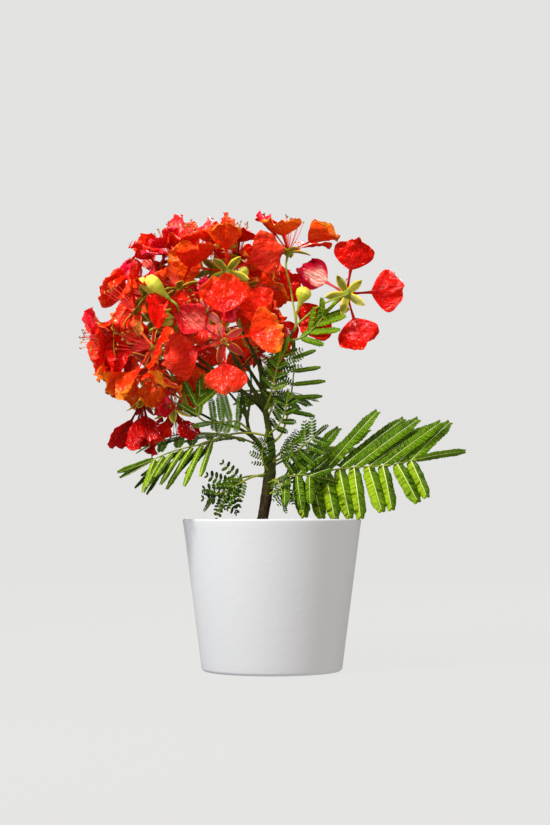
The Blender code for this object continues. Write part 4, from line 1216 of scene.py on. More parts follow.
def finePetal(start, along, face, plan, size, seed, standard):
    # a ruffled petal: s runs along it and u across it, and the rim is 1 at its edge
    p = petals
    q = petalFine
    chance = random.Random(seed)
    length = plan["length"] * size
    widest = plan["share"] * length
    depth = q["foldDepth"] * (q["standardDeeper"] if standard else 1)
    claw = np.linspace(0, p["clawEnd"], q["clawRows"] + 1)[:-1]
    fan = p["clawEnd"] + (1 - p["clawEnd"]) * np.linspace(0, 1, q["bladeRows"]) ** q["rowEase"]
    s = np.concatenate([claw, fan])[:, None]
    even = np.linspace(-1, 1, q["columns"] + 1)[None, :]
    u = 0.5 * np.sin(even * math.pi / 2) + 0.5 * even
    part = np.clip((s - p["clawEnd"]) / (1 - p["clawEnd"]), 0, 1)
    widening = np.sin(0.5 * math.pi * np.clip(part / q["widestAt"], 0, 1)) ** q["wedge"]
    beyond = np.clip((part - q["widestAt"]) / (1 - q["widestAt"]), 0, 1)
    swell = widening * (1 - q["narrowing"] * beyond ** 3)
    half = p["clawHalf"] * (1 - q["waist"] * np.sin(math.pi * np.clip(s / p["clawEnd"], 0, 1)))
    half = half + (widest - half) * swell * (part > 0)
    fan = u * (0.35 + 0.95 * part)
    reach = (np.abs(u) ** q["edge"] * (part > 0) + part ** q["edge"]) ** (1 / q["edge"])
    reach = np.clip(reach, 0, 1) * part**0.25
    rim = np.clip((reach - q["rimFrom"]) / (1 - q["rimFrom"]), 0, 1)
    # in the blade's plane: a rounded end and a wavy edge
    jags = sum(q["jag"] / k * np.sin(fan * k * chance.uniform(3.5, 5.5) + chance.uniform(0, 6.3))
               for k in q["jagCounts"])
    place = s - q["endRound"] * u**2 * part**2.2 + jags * rim**3 * part * 0.55
    place = place - q["jag"] * 0.6 * rim**3
    wide = q["breadth"] * half * u * (1 + jags * rim**3)
    wide = wide + q["sideways"] * chance.uniform(-1, 1) * part**2
    # out of it: cup and crease, waves that grow to the edge, a crumpled skin and a curled rim
    lift = plan["cup"] * half * u**2
    crease = np.exp(-((u / q["creaseWidth"]) ** 2)) * np.sin(math.pi * part**0.8)
    lift = lift - q["crease"] * crease
    ruffle = chance.uniform(*q["ruffle"]) * length / q["ruffleFor"]
    for (low, high), share in q["waves"]:
        turn = fan * chance.uniform(low, high) + chance.uniform(0, 6.3) + 1.4 * part
        lift = lift + ruffle * share * rim**1.6 * np.sin(turn)
    for _ in range(q["folds"]):
        wave = chance.uniform(*q["foldLengths"])
        way = chance.uniform(-0.9, 0.9)
        across = (wide * math.cos(way) + length * place * math.sin(way)) / wave
        over = (length * place * math.cos(way) - wide * math.sin(way)) / wave
        wander = 0.3 * np.sin(math.tau * over * 0.4 + chance.uniform(0, 6.3))
        fold = 1 - 2 * np.abs(np.sin(math.pi * (across + wander + chance.uniform(0, 1))))
        lift = lift + depth * wave * fold * part**0.5 * (0.45 + 0.55 * rim)
    lift = lift - q["curl"] * chance.uniform(-0.5, 1.0) * rim**6
    lift = lift + np.tan(math.radians(q["twist"]) * chance.uniform(-1, 1) * part) * wide
    bend = math.radians(plan["bend"]) + 1e-5
    skin, out = bentSheet(start, along, face, length, bend, place, wide, lift)
    normal = np.cross(np.gradient(skin, axis=1), np.gradient(skin, axis=0))
    normal /= np.maximum(np.linalg.norm(normal, axis=2, keepdims=True), 1e-9)
    if (normal * out).sum() < 0:
        normal = -normal
    thicker = 1 + q["clawThicker"] * np.exp(-((s / 0.12) ** 2))
    thin = (1 - 0.55 * rim**4)[..., None] * q["halfThick"] * thicker[..., None]
    points, faces = twoSkins(skin, normal, thin)
    return points, faces, {"reach": reach.ravel().tolist() * 2, "fan": fan.ravel().tolist() * 2}


def closedGrid(rows, columns):
    # quads of two stacked grids and of the wall round them
    count = rows * columns
    faces = []
    for r in range(rows - 1):
        for c in range(columns - 1):
            a = r * columns + c
            faces.append((a, a + 1, a + columns + 1, a + columns))
            faces.append((count + a, count + a + columns, count + a + columns + 1, count + a + 1))
    edge = list(range(columns))
    edge += [r * columns + columns - 1 for r in range(1, rows)]
    edge += [(rows - 1) * columns + c for c in range(columns - 2, -1, -1)]
    edge += [r * columns for r in range(rows - 2, 0, -1)]
    for a, b in zip(edge, edge[1:] + edge[:1]):
        faces.append((a, count + a, count + b, b))
    return faces


def outward(points, faces):
    # the faces, turned over where they point inwards
    p = np.array([tuple(point) for point in points])
    corners = np.array([(f[0], f[i], f[i + 1]) for f in faces for i in range(1, len(f) - 1)])
    a, b, c = (p[corners[:, i]] for i in range(3))
    volume = np.einsum("ij,ij->i", a, np.cross(b, c)).sum()
    return faces if volume > 0 else [tuple(reversed(face)) for face in faces]


# Flowers whose petals hang folded, and so look narrower
foldedFlowers = {"seven": 0.66, "fourteen": 0.74}


def makePetals():
    heaps = {}
    for flower in placedFlowers:
        chance = random.Random("colours of " + flower["name"])
        colours = [chance.choice(standardMix)]
        colours += [chance.choice(petalMix) for _ in range(petals["count"] - 1)]
        if flower["name"] in flowerColours:
            colours = flowerColours[flower["name"]].split()
        narrow = foldedFlowers.get(flower["name"], 1.0)
        for i, plan, (tilt, turn, size) in flower["petals"]:
            angles = (plan["turn"] + turn, plan["opening"] + tilt)
            spread = spreadOut(flower["centre"], flower["axes"], *angles, petals["start"])
            plan = {**plan, "share": plan["share"] * narrow}
            seed = f"petal {i} of {flower['name']}"
            points, faces, fields = finePetal(*spread, plan, size, seed, i == 0)
            points = np.clip(points, solidBox[0] / mm, solidBox[1] / mm)
            heap = heaps.setdefault(colours[i], Heap())
            heap.put(points.tolist(), outward(points, faces), flower["node"], **fields)
    for name, heap in heaps.items():
        if name in petalColours:
            heap.piece("petals_" + name, [petalFinish(name, *petalColours[name])], "petal")
        else:
            heap.piece("standards_" + name, [standardFinish(name, *standardColours[name])], "petal")


sepalFine = dict(rows=12, columns=8, halfThick=0.42, baseHalf=2.4, longer=1.22, leastHalf=0.25)
sepalTones = dict(
    back=(0.18, 0.18, 0.01), backLight=(0.33, 0.3, 0.025), backBlush=(0.36, 0.1, 0.02),
    backEdge=(0.76, 0.6, 0.025), front=(0.36, 0.008, 0.004), frontDark=(0.22, 0.006, 0.004),
    frontEdge=(0.66, 0.24, 0.02))


def sepalBackFinish():
    f = Finish("sepal_back", Specular_IOR_Level=0.4)
    across = f.attribute("across")
    cloud = f.noise(130.0, 3.0)
    tone = f.mix(f.step(cloud, 0.35, 0.7), sepalTones["back"], sepalTones["backLight"])
    tone = f.mix(f.step(cloud, 0.62, 0.8) * 0.5, tone, sepalTones["backBlush"])
    tone = f.mix(f.step(across + (cloud - 0.5) * 0.7, 0.42, 0.95), tone, sepalTones["backEdge"])
    return f.finish(tone, 0.5 + cloud * 0.15, cloud + f.noise(600.0, 2.0), 0.0003)


def sepalFrontFinish():
    f = Finish("sepal_front", Specular_IOR_Level=0.35)
    across = f.attribute("across")
    cloud = f.noise(160.0, 3.0)
    tone = f.mix(f.step(cloud, 0.3, 0.7) * 0.5, sepalTones["front"], sepalTones["frontDark"])
    tone = f.mix(f.step(across, 0.72, 0.96), tone, sepalTones["frontEdge"])
    return f.finish(tone, 0.46 + cloud * 0.15, cloud, 0.0003)


def fineSepal(start, along, face):
    p = sepalShape
    q = sepalFine
    s = np.linspace(0, 1, q["rows"])[:, None]
    u = np.linspace(-1, 1, q["columns"] + 1)[None, :]
    rise = np.clip(s / p["middle"], 0, 1)
    fall = np.clip((s - p["middle"]) / (1 - p["middle"]), 0, 1)
    half = q["baseHalf"] + (p["half"] - q["baseHalf"]) * np.sin(rise * math.pi / 2)
    half = np.maximum(half * (1 - fall**1.7) ** 0.8, q["leastHalf"])
    lift = p["cup"] * half * u**2 + 0 * s
    length = q["longer"] * p["length"]
    skin, out = bentSheet(start, along, face, length, math.radians(p["bend"]), s, half * u, lift)
    thin = q["halfThick"] * (1 - 0.6 * np.abs(u) ** 3 + 0 * s)[..., None]
    points, faces = twoSkins(skin, out, thin)
    across = np.abs(u) + 0 * s
    return points, faces, across.ravel().tolist() * 2


def makeSepals():
    heap = Heap()
    for flower in placedFlowers:
        for angles in flower["sepals"]:
            spread = spreadOut(flower["centre"], flower["axes"], *angles, sepalShape["start"])
            points, faces, across = fineSepal(*spread)
            half = len(points) // 2
            slots = [0 if max(f) < half else 1 for f in faces]
            faces = outward(points, faces)
            heap.put(points.tolist(), faces, flower["node"], slots, across=across)
    heap.piece("sepals", [sepalFrontFinish(), sepalBackFinish()], "green_stem")


stamens = dict(
    count=10, tilts=(11, 30), inside=8, leastTilts=(2, 4), spread=12, steps=7, sway=2.2, sunk=1.5,
    thick=(0.42, 0.26), sides=5, lengths=(0.78, 1.0), antherLength=3.0, antherLean=0.5,
    filament=((0.6, 0.01, 0.012), (0.82, 0.06, 0.03)),
    anther=((0.35, (0.1, 0.03, 0.012)), (0.55, (0.42, 0.22, 0.03)), (0.7, (0.78, 0.52, 0.07))))


def tubeTree():
    g = Grower("tubes", {"Sides": "Int"})
    line = g.add("GeometryNodeMeshToCurve", None, {"Mesh": g.given("Geometry")})
    sockets = {"Resolution": g.given("Sides"), "Radius": 1.0}
    ring = g.add("GeometryNodeCurvePrimitiveCircle", None, sockets)
    sockets = {"Curve": line, "Profile Curve": ring, "Scale": g.named("thick"), "Fill Caps": True}
    g.end(g.add("GeometryNodeCurveToMesh", None, sockets))
    return g


def antherTree():
    # a two-lobed anther at each point, turned across the end of its filament
    g = Grower("anthers", {"Length": "Float"})
    ball = g.add("GeometryNodeMeshUVSphere", None, {"Segments": 8, "Rings": 6, "Radius": 0.5})
    lobes = []
    for side in (-0.2, 0.2):
        sockets = {"Geometry": ball, "Translation": (0, side, 0), "Scale": (0.42, 0.36, 1.0)}
        lobes.append(g.add("GeometryNodeTransform", None, sockets))
    sockets = {"Vector": g.named("way", "FLOAT_VECTOR")}
    turn = g.add("FunctionNodeAlignRotationToVector", {"axis": "Z"}, sockets)
    g.end(g.scatter(g.given("Geometry"), g.join(lobes), turn, g.given("Length")))
    return g


def filamentFinish():
    f = Finish("filament", Specular_IOR_Level=0.35, Subsurface_Weight=0.1, Subsurface_Scale=0.002)
    cloud = f.noise(120.0, 2.0)
    tone = f.mix(cloud, *stamens["filament"])
    return f.finish(tone, 0.45 + cloud * 0.1, cloud, 0.0001)


def antherFinish():
    f = Finish("anther", Specular_IOR_Level=0.25)
    cloud = f.noise(400.0, 3.0)
    tone = f.ramp(cloud, stamens["anther"])
    return f.finish(tone, 0.75 + cloud * 0.1, f.noise(1500.0, 2.0), 0.0002)


def anyWay(chance):
    return Vector([chance.uniform(-1, 1) for _ in range(3)])


def makeStamens():
    # a filament as a line and its anther as a point with the way it lies
    q = stamens
    lines = Lines()
    tips = Lines()
    places = [i / q["steps"] for i in range(q["steps"] + 1)]
    first, last = q["thick"]
    for flower in placedFlowers:
        chance = random.Random("stamens of " + flower["name"])
        widest = max(min(q["tilts"][1], flower["opening"] - q["inside"]), q["leastTilts"][1])
        narrowest = min(q["tilts"][0], widest - q["leastTilts"][0])
        for i in range(q["count"]):
            aside = chance.uniform(-q["spread"], q["spread"])
            turn = flower["spin"] + 360 / q["count"] * i + aside
            tilt = chance.uniform(narrowest, widest)
            length = stamenShape["length"] * chance.uniform(*q["lengths"])
            path = stamenPath(flower["centre"], flower["axes"], turn, tilt, places, length)
            sway = anyWay(chance)
            path = [p + sway * (q["sway"] * t * t) for p, t in zip(path, places)]
            path[0] = path[0] - flower["axes"][0] * q["sunk"]
            lines.put(path, flower["node"], {"thick": [first + (last - first) * t for t in places]})
            way = (path[-1] - path[-2]).normalized()
            across = way.cross(anyWay(chance)).normalized()
            lying = (across + way * q["antherLean"]).normalized()
            tips.put([path[-1]], flower["node"], {}, {"way": [lying]})
    lines.piece("filaments", trees["tubes"], filamentFinish(), "petal", Sides=q["sides"])
    long = q["antherLength"] * mm
    tips.piece("anthers", antherTree(), antherFinish(), "petal", Length=long)


budFine = dict(
    sides=40, steps=26, ribs=5, ribPower=12, ribDepth=0.07, roundFrom=0.9, roundOver=0.1, tip=0.1,
    dark=(0.42, 0.46, 0.012), light=(0.7, 0.66, 0.06), end=(0.8, 0.62, 0.08),
    # foot is a darker green that paints the shade on the bud's lower end
    foot=(0.2, 0.26, 0.01), seam=(0.26, 0.22, 0.012))


def budFinish():
    f = Finish("bud", Specular_IOR_Level=0.45, Subsurface_Weight=0.08, Subsurface_Scale=0.003)
    cloud = f.noise(80.0, 3.0)
    seam = f.attribute("seam")
    tip = f.attribute("tip")
    tone = f.mix(f.step(cloud, 0.3, 0.75), budFine["dark"], budFine["light"])
    tone = f.mix(f.step(tip, 0.6, 1.0) * 0.45, tone, budFine["end"])
    # painted shade: darker green towards the bud's foot, for the shade on its lower end
    tone = f.mix(f.step(tip, 0.35, 0.0) * 0.6, tone, budFine["foot"])
    tone = f.mix(f.step(seam, 0.75, 1.0) * 0.5, tone, budFine["seam"])
    return f.finish(tone, 0.42 + cloud * 0.14, cloud - seam * 0.5, 0.0003)


def makeBuds():
    q = budFine
    heap = Heap()
    profile = budShape["profile"]
    places, shares = zip(*profile)
    for node, start, tip, radius in placedBuds:
        length = (tip - start).length
        axis = (tip - start).normalized()
        across = axis.orthogonal().normalized()
        over = axis.cross(across)
        rings = []
        seams = []
        ends = []
        for i in range(q["steps"] + 1):
            t = places[0] + (places[-1] - places[0]) * i / q["steps"]
            share = float(np.interp(t, places, shares))
            if t > q["roundFrom"]:
                close = (t - q["roundFrom"]) / q["roundOver"]
                share *= math.sqrt(max(0.0, 1 - close ** 2)) * (1 - q["tip"]) + q["tip"]
            ring = []
            for k in range(q["sides"]):
                turn = math.tau * k / q["sides"]
                groove = max(0.0, math.cos(q["ribs"] * turn)) ** q["ribPower"] * max(0.0, t)
                out = radius * share * (1 - q["ribDepth"] * groove)
                aside = across * math.cos(turn) + over * math.sin(turn)
                ring.append(start + axis * (length * t) + aside * out)
                seams.append(groove)
                ends.append(max(t, 0.0))
            rings.append(ring)
        points, faces = loft(rings)
        points = [tuple(p) for p in points]
        heap.put(points, outward(points, faces), node, seam=seams, tip=ends)
    heap.piece("buds", [budFinish()], "petal")


stalks = dict(sides=12, steps=6, stemSteps=4, sunk=3, dark=(0.14, 0.21, 0.01),
              light=(0.38, 0.4, 0.025), blush=(0.22, 0.07, 0.01))


def stalkFinish():
    f = Finish("green_stalk", Specular_IOR_Level=0.4)
    cloud = f.noise(90.0, 3.0)
    streak = f.noise(500.0, 3.0, 0.6)
    tone = f.mix(f.step(cloud, 0.3, 0.7), stalks["dark"], stalks["light"])
    tone = f.mix(f.step(streak, 0.56, 0.75) * 0.4, tone, stalks["blush"])
    return f.finish(tone, 0.5 + cloud * 0.15, streak, 0.0002)


def makeStalks():
    lines = Lines()
    for parts in placedHeads.values():
        tip = parts["tip"] - parts["ahead"] * stalks["sunk"]
        path = smoothPath([tip, *parts["path"]], stalks["stemSteps"])
        thick = taper(path, headStem["start"], headStem["end"])
        lines.put(path, parts["name"], {"thick": thick})
        for start, centre, facing, hub, bow in parts["stalks"]:
            swell, back, front = stalkShape["shares"]
            r = stalkShape["radius"]
            sizes = [r, r, r, r * swell, hub * back, hub * front]
            path = smoothPath(stalkPath(start, centre, facing, bow), stalks["steps"])
            places = [i / stalks["steps"] for i in range(len(path))]
            thick = [float(np.interp(place, range(len(sizes)), sizes)) for place in places]
            lines.put(path, parts["name"], {"thick": thick})
    tubes = trees["tubes"]
    lines.piece("stalks", tubes, stalkFinish(), "green_stem", Sides=stalks["sides"])


# Fronds: the points of the rib, the part of it that is bare, its pairs of pinnae, the longest
# pinna and half its width, the droop and the last pinna, then for each of the two rows the side it
# spreads to, the angle in degrees it leaves the rib at and its share of the longest. The look says
# for each row and for the last pinna the greens of its two sides, where two different greens are
# painted light on one half of a folded pinna and painted shade on the other, the fold in degrees up
# from flat, a leaflet's breadth and the space between two in shares of its length, and that length
# in shares of half the pinna's width
fronds = {
    "frond_right": dict(
        rib=((0, -1, 34), (36, -10, 45), (78, -14, 51), (118, -12, 54), (146, -8, 60)), first=0.13,
        pairs=9, length=84, half=5.6, droop=12, end=52, tone="pale", midribs=(0.36, 0.74, 0.36),
        rows=(((-0.1, 0.42, 0.9), 36, 1.0), ((0, -0.42, -0.9), 84, 0.6)),
        look=(("fresh", "mid", 4, 0.52, 0.3, 1.26), ("lime", "mid", -20, 0.88, 0.26, 1.5),
              ("fresh", "mid", 0, 0.7, 0.3, 1.0))),
    "frond_left": dict(
        rib=((0, -3, 82), (-22, -9, 86), (-44, -15, 84), (-70, -23, 75), (-98, -35, 68),
             (-122, -47, 58)),
        first=0.44, pairs=7, length=60, half=5.0, droop=10, end=38, tone="pale",
        rows=(((0, 0.6, -0.8), 30, 0.85), ((0, -0.72, -0.7), 42, 1.0)),
        look=(("dark", "mid", -34, 0.84, 0.34, 0.76), ("lime", "fresh", -24, 0.84, 0.34, 0.72),
              ("fresh", "mid", -12, 0.84, 0.34, 0.8))),
    "frond_low_left": dict(
        rib=((-4, -2, 42), (-20, -6, 43), (-34, -9, 39), (-42, -12, 27), (-48, -14, 16)),
        first=0.42, pairs=4, length=28, half=3.4, droop=8, end=20,
        rows=(((0.3, 0.3, -0.8), 52, 0.8), ((-0.6, -0.3, 0.75), 62, 1.0)),
        look=(("dark", "dark", 8, 0.46, 0.74, 1.9), ("dark", "mid", 8, 0.52, 0.7, 1.9),
              ("mid", "dark", 8, 0.52, 0.66, 1.7))),
    "frond_mid_left": dict(
        rib=((-22, -5, 88), (-34, -16, 97), (-46, -20, 97), (-62, -24, 96)), first=0.3, pairs=4,
        length=31, half=3.6, droop=6, end=20,
        rows=(((0.3, -0.15, 0.9), 82, 1.0), ((0.1, -0.6, -0.5), 60, 0.6)),
        look=(("pale", "pale", 14, 0.46, 0.4, 1.15), ("pale", "fresh", 8, 0.46, 0.4, 1.1),
              ("pale", "fresh", 6, 0.46, 0.4, 1.1))),
    "frond_hanging": dict(
        rib=((-55, -15, 96), (-68, -26, 98), (-76, -30, 108), (-71, -32, 128)), first=0.4, pairs=3,
        length=26, half=3.2, droop=10, end=18, tone="pale",
        rows=(((1, 0.3, 0), 36, 1.0), ((-1, -0.3, 0), 36, 1.0)),
        look=(("lime", "fresh", -14, 0.78, 0.36, 1.3), ("fresh", "mid", -10, 0.78, 0.36, 1.2),
              ("lime", "fresh", -10, 0.7, 0.36, 1.1))),
    "frond_upper_right": dict(
        rib=((14, -4, 178), (30, -8, 182), (42, -10, 192), (54, -12, 206)), first=0.22, pairs=4,
        length=33, half=3.8, droop=8, end=24,
        rows=(((-0.7, 0.3, 0.7), 30, 0.8), ((0.7, -0.3, -0.7), 36, 1.0)),
        look=(("lime", "fresh", -26, 0.8, 0.34, 0.95), ("lime", "fresh", -20, 0.8, 0.34, 0.95),
              ("lime", "mid", -20, 0.8, 0.34, 0.95))),
    "frond_tall": dict(
        rib=((-1, 1, 74), (10, 6, 86), (17, 8, 110), (20, 8, 130), (22, 6, 150), (22, 4, 168)),
        first=0.34, pairs=5, length=33, half=4.0, droop=10, end=16,
        rows=(((1, 0.25, 0), 80, 1.0), ((-0.8, 0.5, 0), 66, 0.7)),
        look=(("mid", "fresh", -24, 0.7, 0.42, 0.72), ("dark", "mid", 8, 0.48, 0.72, 1.0),
              ("fresh", "mid", 6, 0.6, 0.42, 0.8))),
    "frond_inner": dict(
        rib=((-9, -3, 126), (0, -12, 138), (6, -17, 152), (12, -19, 168)), first=0.25, pairs=4,
        length=25, half=3.8, droop=10, end=18,
        rows=(((0.8, -0.1, -0.3), 52, 1.0), ((-0.8, -0.1, 0.3), 52, 0.8)),
        look=(("mid", "dark", 8, 0.5, 0.66, 1.0), ("dark", "mid", 8, 0.5, 0.66, 1.0),
              ("mid", "fresh", 8, 0.5, 0.44, 1.1))),
    "frond_small": dict(
        rib=((-1, -1, 57), (8, -10, 66), (16, -16, 72), (22, -22, 76)), first=0.3, pairs=3,
        length=22, half=3.4, droop=8, end=16,
        rows=(((0.3, 0.4, 0.8), 58, 1.0), ((0.3, -0.6, -0.7), 58, 1.0)),
        look=(("mid", "dark", 8, 0.48, 0.66, 1.2), ("fresh", "mid", 8, 0.48, 0.6, 1.1),
              ("fresh", "mid", 8, 0.5, 0.44, 1.1))),
    "frond_back_right": dict(
        rib=((-1, 1, 52), (24, 34, 64), (58, 66, 72), (92, 92, 70)), first=0.28, pairs=6,
        length=56, half=5.2, droop=24, end=44,
        rows=(((-0.7, 0.7, 0.1), 58, 1.0), ((0.7, -0.7, -0.2), 58, 1.0)),
        look=(("mid", "mid", 4, 0.6, 0.32, 1.15), ("fresh", "mid", -10, 0.66, 0.32, 1.15),
              ("lime", "fresh", 2, 0.6, 0.32, 1.1))),
    "frond_back_left": dict(
        rib=((-2, 0, 68), (-30, 30, 80), (-70, 56, 86), (-112, 74, 78)), first=0.3, pairs=6,
        length=54, half=5.2, droop=24, end=42,
        rows=(((0.5, 0.85, 0.1), 58, 1.0), ((-0.5, -0.85, -0.1), 58, 1.0)),
        look=(("fresh", "mid", 4, 0.6, 0.32, 1.15), ("mid", "mid", -10, 0.66, 0.32, 1.15),
              ("lime", "fresh", 2, 0.6, 0.32, 1.1))),
    "frond_back": dict(
        rib=((-5, 0, 98), (2, 34, 118), (4, 72, 128), (0, 108, 122)), first=0.3, pairs=6,
        length=52, half=5.2, droop=26, end=40, rows=(((1, 0, 0), 60, 1.0), ((-1, 0, 0), 60, 1.0)),
        look=(("mid", "mid", 4, 0.6, 0.32, 1.15), ("mid", "fresh", -10, 0.66, 0.32, 1.15),
              ("fresh", "mid", 2, 0.6, 0.32, 1.1))),
}
# Sprigs that the solids leave out, along the stem and near its fork, and the node each rides with
sprigs = {
    "sprig_low": dict(
        node="frond_right", rib=((-2, -3, 38), (14, -14, 42), (28, -24, 44), (44, -30, 42)),
        first=0.25, pairs=3, length=34, half=4.2, droop=12, end=26, tone="pale",
        rows=(((-0.1, 0.42, 0.9), 44, 0.8), ((0, -0.42, -0.9), 78, 1.0)),
        look=(("mid", "dark", -6, 0.62, 0.36, 1.3), ("fresh", "mid", -20, 0.74, 0.34, 1.4),
              ("lime", "mid", -16, 0.7, 0.34, 1.2))),
    "sprig_fork": dict(
        node="frond_right", rib=((-1, -2, 56), (12, -12, 62), (28, -20, 70), (44, -26, 84)),
        first=0.2, pairs=5, length=26, half=3.2, droop=8, end=18,
        rows=(((-0.4, 0.3, 0.8), 58, 1.0), ((0.5, -0.3, -0.8), 60, 0.9)),
        look=(("dark", "mid", 8, 0.48, 0.56, 1.6), ("mid", "dark", 6, 0.5, 0.42, 1.35),
              ("mid", "dark", 6, 0.5, 0.44, 1.2))),
    "sprig_foot": dict(
        node="frond_right", rib=((-5, -2, 24), (10, -12, 30), (24, -18, 27), (38, -22, 20)),
        first=0.3, pairs=3, length=16, half=2.8, droop=8, end=14,
        rows=(((0.2, 0.3, 0.9), 60, 1.0), ((0, -0.4, -0.9), 66, 0.8)),
        look=(("dark", "dark", 8, 0.5, 0.66, 1.8), ("mid", "dark", 6, 0.52, 0.48, 1.5),
              ("mid", "dark", 6, 0.5, 0.5, 1.2))),
    "sprig_left": dict(
        node="frond_low_left", rib=((-6, -3, 45), (-22, -12, 41), (-42, -18, 30), (-60, -20, 22)),
        first=0.35, pairs=4, length=24, half=3.0, droop=8, end=20,
        rows=(((-0.4, 0.3, 0.8), 26, 0.9), ((0.3, -0.3, -0.8), 40, 1.0)),
        look=(("mid", "dark", 6, 0.52, 0.46, 1.4), ("dark", "mid", 6, 0.52, 0.6, 1.6),
              ("mid", "dark", 6, 0.5, 0.44, 1.3))),
    "sprig_high": dict(
        node="frond_inner", rib=((-7, -3, 110), (-2, -14, 122), (2, -20, 138), (6, -22, 156)),
        first=0.2, pairs=4, length=15, half=2.6, droop=8, end=18,
        rows=(((0.8, -0.2, -0.4), 54, 1.0), ((-0.8, -0.2, 0.4), 54, 1.0)),
        look=(("dark", "mid", 8, 0.5, 0.42, 1.4), ("mid", "dark", 8, 0.5, 0.42, 1.4),
              ("mid", "fresh", 6, 0.5, 0.5, 1.2))),
    "sprig_stem": dict(
        node="frond_tall", rib=((-4, -3, 84), (6, -12, 93), (12, -16, 104), (15, -18, 118)),
        first=0.2, pairs=4, length=15, half=2.8, droop=8, end=14,
        rows=(((0.8, -0.2, -0.4), 52, 1.0), ((-0.8, -0.2, 0.4), 56, 1.0)),
        look=(("mid", "dark", -6, 0.62, 0.44, 1.25), ("dark", "mid", 6, 0.56, 0.46, 1.3),
              ("mid", "fresh", 6, 0.56, 0.46, 1.2))),
    "sprig_bark": dict(
        node="frond_small", rib=((-4, -4, 48), (-8, -12, 55), (-10, -16, 65), (-7, -18, 78)),
        first=0.2, pairs=4, length=14, half=2.6, droop=8, end=14,
        rows=(((0.8, -0.2, 0.3), 56, 1.0), ((-0.8, -0.2, 0.3), 56, 0.9)),
        look=(("mid", "dark", 6, 0.52, 0.52, 1.3), ("dark", "mid", 6, 0.5, 0.6, 1.4),
              ("fresh", "mid", 6, 0.52, 0.46, 1.2))),
    "sprig_base": dict(
        node="frond_right", rib=((-4, -4, 36), (4, -12, 38), (9, -17, 31), (12, -20, 16)),
        first=0.25, pairs=4, length=14, half=2.6, droop=8, end=12,
        rows=(((0.9, -0.1, 0.3), 54, 1.0), ((-0.9, -0.1, -0.1), 58, 0.8)),
        look=(("dark", "mid", 6, 0.5, 0.5, 1.4), ("mid", "dark", 6, 0.5, 0.6, 1.4),
              ("mid", "dark", 6, 0.5, 0.5, 1.3))),
}
pinnaShape = dict(halfThick=0.6, cup=-0.15, rows=((0.12, 0.85), (0.86, 1.0)), sway=5, closing=8,
                  shortest=0.45, ribStart=1.2, ribEnd=0.6, ribSides=4, ribOverlap=2.0)
pinnaTries = (
    (0, 0), (10, 0), (-10, 0), (0, 10), (0, -10), (20, 0), (-20, 0), (10, 18), (-10, -18),
    (30, 0), (-30, 0), (45, 0), (-45, 0),
)


def pinnaSolid(start, along, face, length, half, droop, grow=0.0):
    s = pinnaShape
    rows = [(place, half * share, s["halfThick"]) for place, share in s["rows"]]
    rows.append((1.0, 0.0, 0.0))
    return leafBlade(start, along, face, length, rows, math.radians(-droop), s["cup"], grow)


def frondPlan(name):
    # the rib of a frond and where each pinna starts, points, faces, how long it is and its row
    s = pinnaShape
    frond = {**fronds, **sprigs}[name]
    path = seenPath(frond["rib"], spans)
    chance = random.Random("pinnae of " + name)
    at, ahead = pointAlong(path, 1.0)
    across = ahead.orthogonal().normalized()
    plan = [(at - ahead * s["ribOverlap"], ahead, across, frond["end"], 2)]
    for i in range(frond["pairs"]):
        alongRib = (i + 0.5) / frond["pairs"]
        place = frond["first"] + (1 - frond["first"]) * alongRib
        swell = math.sin(math.pi * (0.18 + 0.7 * alongRib))
        fullness = s["shortest"] + (1 - s["shortest"]) * swell
        for row, (way, slant, share) in enumerate(frond["rows"]):
            at, ahead = pointAlong(path, place)
            side = Vector(way)
            side = (side - ahead * side.dot(ahead)).normalized()
            sway = chance.uniform(-s["sway"], s["sway"])
            lean = math.radians(slant + sway + s["closing"] * (0.5 - alongRib))
            face = ahead.cross(side)
            if face.z + 0.4 * face.x - 0.4 * face.y < 0:
                face.negate()
            along = ahead * math.cos(lean) + side * math.sin(lean)
            length = frond["length"] * share * fullness * chance.uniform(0.93, 1.07)
            plan.append((at + side * (s["ribEnd"] / 2), along, face, length, row))
    return path, plan


def placeRib(name):
    path, plan = frondPlan(name)
    size = [pinnaShape[part] for part in ("ribStart", "ribEnd", "ribSides")]
    placeTapered(name, "/rib", path, *size)
    return plan


def placeFrond(name, plan):
    frond = {**fronds, **sprigs}[name]
    found = []
    for i, (at, along, face, length, row) in enumerate(plan):

        def swung(lift, turn):
            swing = Matrix.Rotation(math.radians(turn), 3, face)
            raising = Matrix.Rotation(math.radians(lift), 3, along.cross(face))
            return raising @ (swing @ along), raising @ face

        attempt = placeFirst(
            f"{name}/pinna_{i}.",
            pinnaTries,
            lambda lift, turn, grow: pinnaSolid(at, *swung(lift, turn), length, frond["half"],
                                                frond["droop"], grow),
            name + "/rib",
        )
        if attempt is not None:
            found.append((at, *swung(*attempt), length, row))
    return found


# The greens of the leaflets: the plain tone, its light flecks and its dark clouds. The greens are
# lighter and darker copies of one leaf green that paint light and shade: dark is painted shade
# for leaves in shade, and lime is painted light for sunlit and backlit leaves
leafTones = {
    "mid": ((0.09, 0.19, 0.001), (0.15, 0.275, 0.003), (0.044, 0.104, 0.001)),
    "dark": ((0.036, 0.08, 0.002), (0.064, 0.125, 0.003), (0.014, 0.036, 0.001)),
    "lime": ((0.27, 0.42, 0.002), (0.37, 0.52, 0.005), (0.15, 0.27, 0.002)),
    "fresh": ((0.13, 0.265, 0.001), (0.2, 0.35, 0.004), (0.068, 0.155, 0.001)),
    "pale": ((0.17, 0.33, 0.05), (0.28, 0.45, 0.11), (0.08, 0.19, 0.02)),
}
# Now and then a row's first green gives way to another
otherGreen = {"mid": "dark", "dark": "lime", "lime": "fresh", "fresh": "mid", "pale": "dark"}
